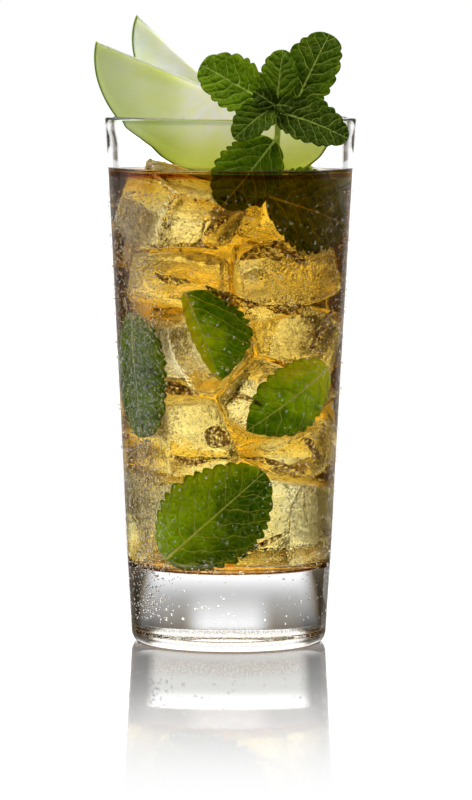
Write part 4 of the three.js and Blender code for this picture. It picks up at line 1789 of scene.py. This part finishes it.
def lit_world(stage):
    """White behind the glass and bright above it, dim beside it and nearly dark in front, with a
    narrow strip at the right. The camera sees white, and mirror images of the sides are dimmer."""
    world = bpy.data.worlds.new("studio")
    world.use_nodes = True
    world.node_tree.nodes.clear()
    nodes = Nodes(world.node_tree)
    x, y, z = nodes.axes(nodes.node("ShaderNodeTexCoord", output="Generated"))
    left = nodes.maths("ARCTAN2", 0.0 - x, y)
    beside = nodes.maths("ABSOLUTE", left)
    right = 0.0 - left
    # The white back is wider high up than low down
    wide = z.ranged(-0.1, 0.25, 0.0, BACK_WIDENS)
    back = (beside - wide).ranged(*BACK_ENDS, 1.0, 0.0)
    back = back * z.ranged(0.04, 0.22, 0.52, 1.0)
    front = beside.ranged(*FRONT_BEGINS)
    strip = right.ranged(*STRIP_BEGINS)
    strip = strip * right.ranged(*STRIP_ENDS, 1.0, 0.0)
    top = z.ranged(0.22, 0.6)
    glow = stage.sides + back * (stage.back - stage.sides) + front * (stage.front - stage.sides)
    seen, kept = nodes.dimmed(beside, *DIMMER_FROM)
    glow = glow * kept + strip * STRIP_GLOW
    glow = glow * (1 - top) + top * stage.top
    glow = glow * (1 - seen) + seen
    tint = nodes.mixed(glow.ranged(0.1, 0.8), WARM, WHITE)
    light = nodes.node("ShaderNodeBackground", None, {"Color": tint, "Strength": glow})
    nodes.node("ShaderNodeOutputWorld", None, {"Surface": light})
    bpy.context.scene.world = world


def add_panel(name, place, towards, size, radiance):
    """A soft light panel that faces a point. The camera doesn't see it."""
    data = bpy.data.lights.new(name, "AREA")
    data.shape = "RECTANGLE"
    data.size = size[0]
    data.size_y = size[1]
    data.energy = radiance * math.pi * size[0] * size[1]
    panel = bpy.data.objects.new(name, data)
    panel.location = place
    panel.rotation_euler = (Vector(towards) - Vector(place)).to_track_quat("-Z", "Y").to_euler()
    panel.visible_camera = False
    bpy.context.scene.collection.objects.link(panel)


def floor_finish(stage):
    """White to the camera, with a mirror that fades away from the glass. It lights the glass from
    behind, and less from in front and from the sides."""
    finish = Finish("floor")
    x, y, _ = finish.axes(finish.where())
    away = ((x * x) + (y * y)) ** 0.5
    share = away.ranged(*MIRROR_FADES, stage.gloss, 0.0)
    behind = y.ranged(-0.08, 0.02, stage.front, stage.table)
    behind = behind + y.ranged(0.18, 0.5, 0.0, stage.back - stage.table)
    aside = finish.maths("ABSOLUTE", x) / finish.maths("MAXIMUM", y, 0.03)
    beside = (aside * y.ranged(0.15, 0.6, 0.68, 1.25)).ranged(0.38, 0.85, 1.0, 0.08)
    beside = finish.maths("MAXIMUM", beside, away.ranged(1.62, 1.9, 0.0, 0.35))
    seen, kept = finish.dimmed(aside, 0.15, 0.35)
    glow = seen + (1 - seen) * behind * beside * kept
    warmth = finish.mixed(glow.ranged(0.05, 0.6), WARM, WHITE)
    white = finish.node("ShaderNodeEmission", None, {"Color": warmth, "Strength": glow})
    # The floor's mirror is tinted grey where it shows the clear base, a painted shade on that mirror image
    under = finish.maths("ABSOLUTE", x).ranged(BASE_IMAGE, BASE_IMAGE + 0.0018, 1.0, 0.0)
    under = under * away.ranged(BASE_IMAGE_END, BASE_IMAGE_END + 0.04, 1.0, 0.0)
    under = under * y.ranged(-0.02, -0.005, 1.0, 0.0)
    tint = finish.mixed(under, WHITE, BASE_IMAGE_PAINTED_SHADE)
    mirror = finish.node("ShaderNodeBsdfGlossy", None, {"Color": tint, "Roughness": 0.03})
    surface = finish.node("ShaderNodeMixShader", None, {0: share, 1: white, 2: mirror})
    return finish.done(surface)


class MOJITO_OT_stage(bpy.types.Operator):
    """Set the camera, the light and the pale floor"""

    bl_idname = "mojito.make_stage"
    bl_label = "Stage"

    def execute(self, context):
        stage = context.scene.mojito_stage
        place_camera()
        lit_world(stage)
        add_panel("softbox", SOFTBOX_PLACE, SOFTBOX_AIM, SOFTBOX_SIZE, stage.softbox)
        shape = bmesh.new()
        bmesh.ops.create_circle(shape, cap_ends=True, radius=FLOOR_RADIUS, segments=96)
        bmesh.ops.translate(shape, vec=(0, 0, -FLOOR_DROP), verts=shape.verts)
        mesh = mesh_of(shape, "floor")
        mesh.materials.append(floor_finish(stage))
        add_object("floor", mesh)
        context.scene.view_settings.view_transform = "Standard"
        cycles = context.scene.cycles
        cycles.max_bounces = 40
        cycles.transmission_bounces = 40
        cycles.glossy_bounces = 8
        cycles.diffuse_bounces = 4
        cycles.sample_clamp_indirect = 8.0
        cycles.blur_glossy = 0.3
        return {"FINISHED"}


OPERATORS = [
    MOJITO_OT_glass,
    MOJITO_OT_drink_and_ice,
    MOJITO_OT_sunken_leaves,
    MOJITO_OT_sprig,
    MOJITO_OT_apple,
    MOJITO_OT_dew,
    MOJITO_OT_stage,
]


class MOJITO_PT_panel(bpy.types.Panel):
    """Lists what the mojito is built of"""

    bl_idname = "MOJITO_PT_panel"
    bl_label = "Mojito"
    bl_space_type = "VIEW_3D"
    bl_region_type = "UI"
    bl_category = "Mojito"

    def draw(self, context):
        for operator in OPERATORS:
            self.layout.operator(operator.bl_idname)


SETTINGS = {
    "mojito_glass": GlassSettings,
    "mojito_drink": DrinkSettings,
    "mojito_ice": IceSettings,
    "mojito_mint": MintSettings,
    "mojito_apple": AppleSettings,
    "mojito_dew": DewSettings,
    "mojito_stage": StageSettings,
}


def register():
    for name, group in SETTINGS.items():
        bpy.utils.register_class(group)
        setattr(bpy.types.Scene, name, PointerProperty(type=group))
    for kind in [*OPERATORS, MOJITO_PT_panel]:
        bpy.utils.register_class(kind)


def unregister():
    for kind in [MOJITO_PT_panel, *reversed(OPERATORS)]:
        bpy.utils.unregister_class(kind)
    for name, group in SETTINGS.items():
        delattr(bpy.types.Scene, name)
        bpy.utils.unregister_class(group)


def main():
    register()
    bpy.ops.mojito.make_glass()
    bpy.ops.mojito.make_drink_and_ice()
    bpy.ops.mojito.make_sunken_leaves()
    bpy.ops.mojito.make_sprig()
    bpy.ops.mojito.make_apple()
    bpy.ops.mojito.make_dew()
    bpy.ops.mojito.make_stage()


if __name__ == "__main__":
    main()
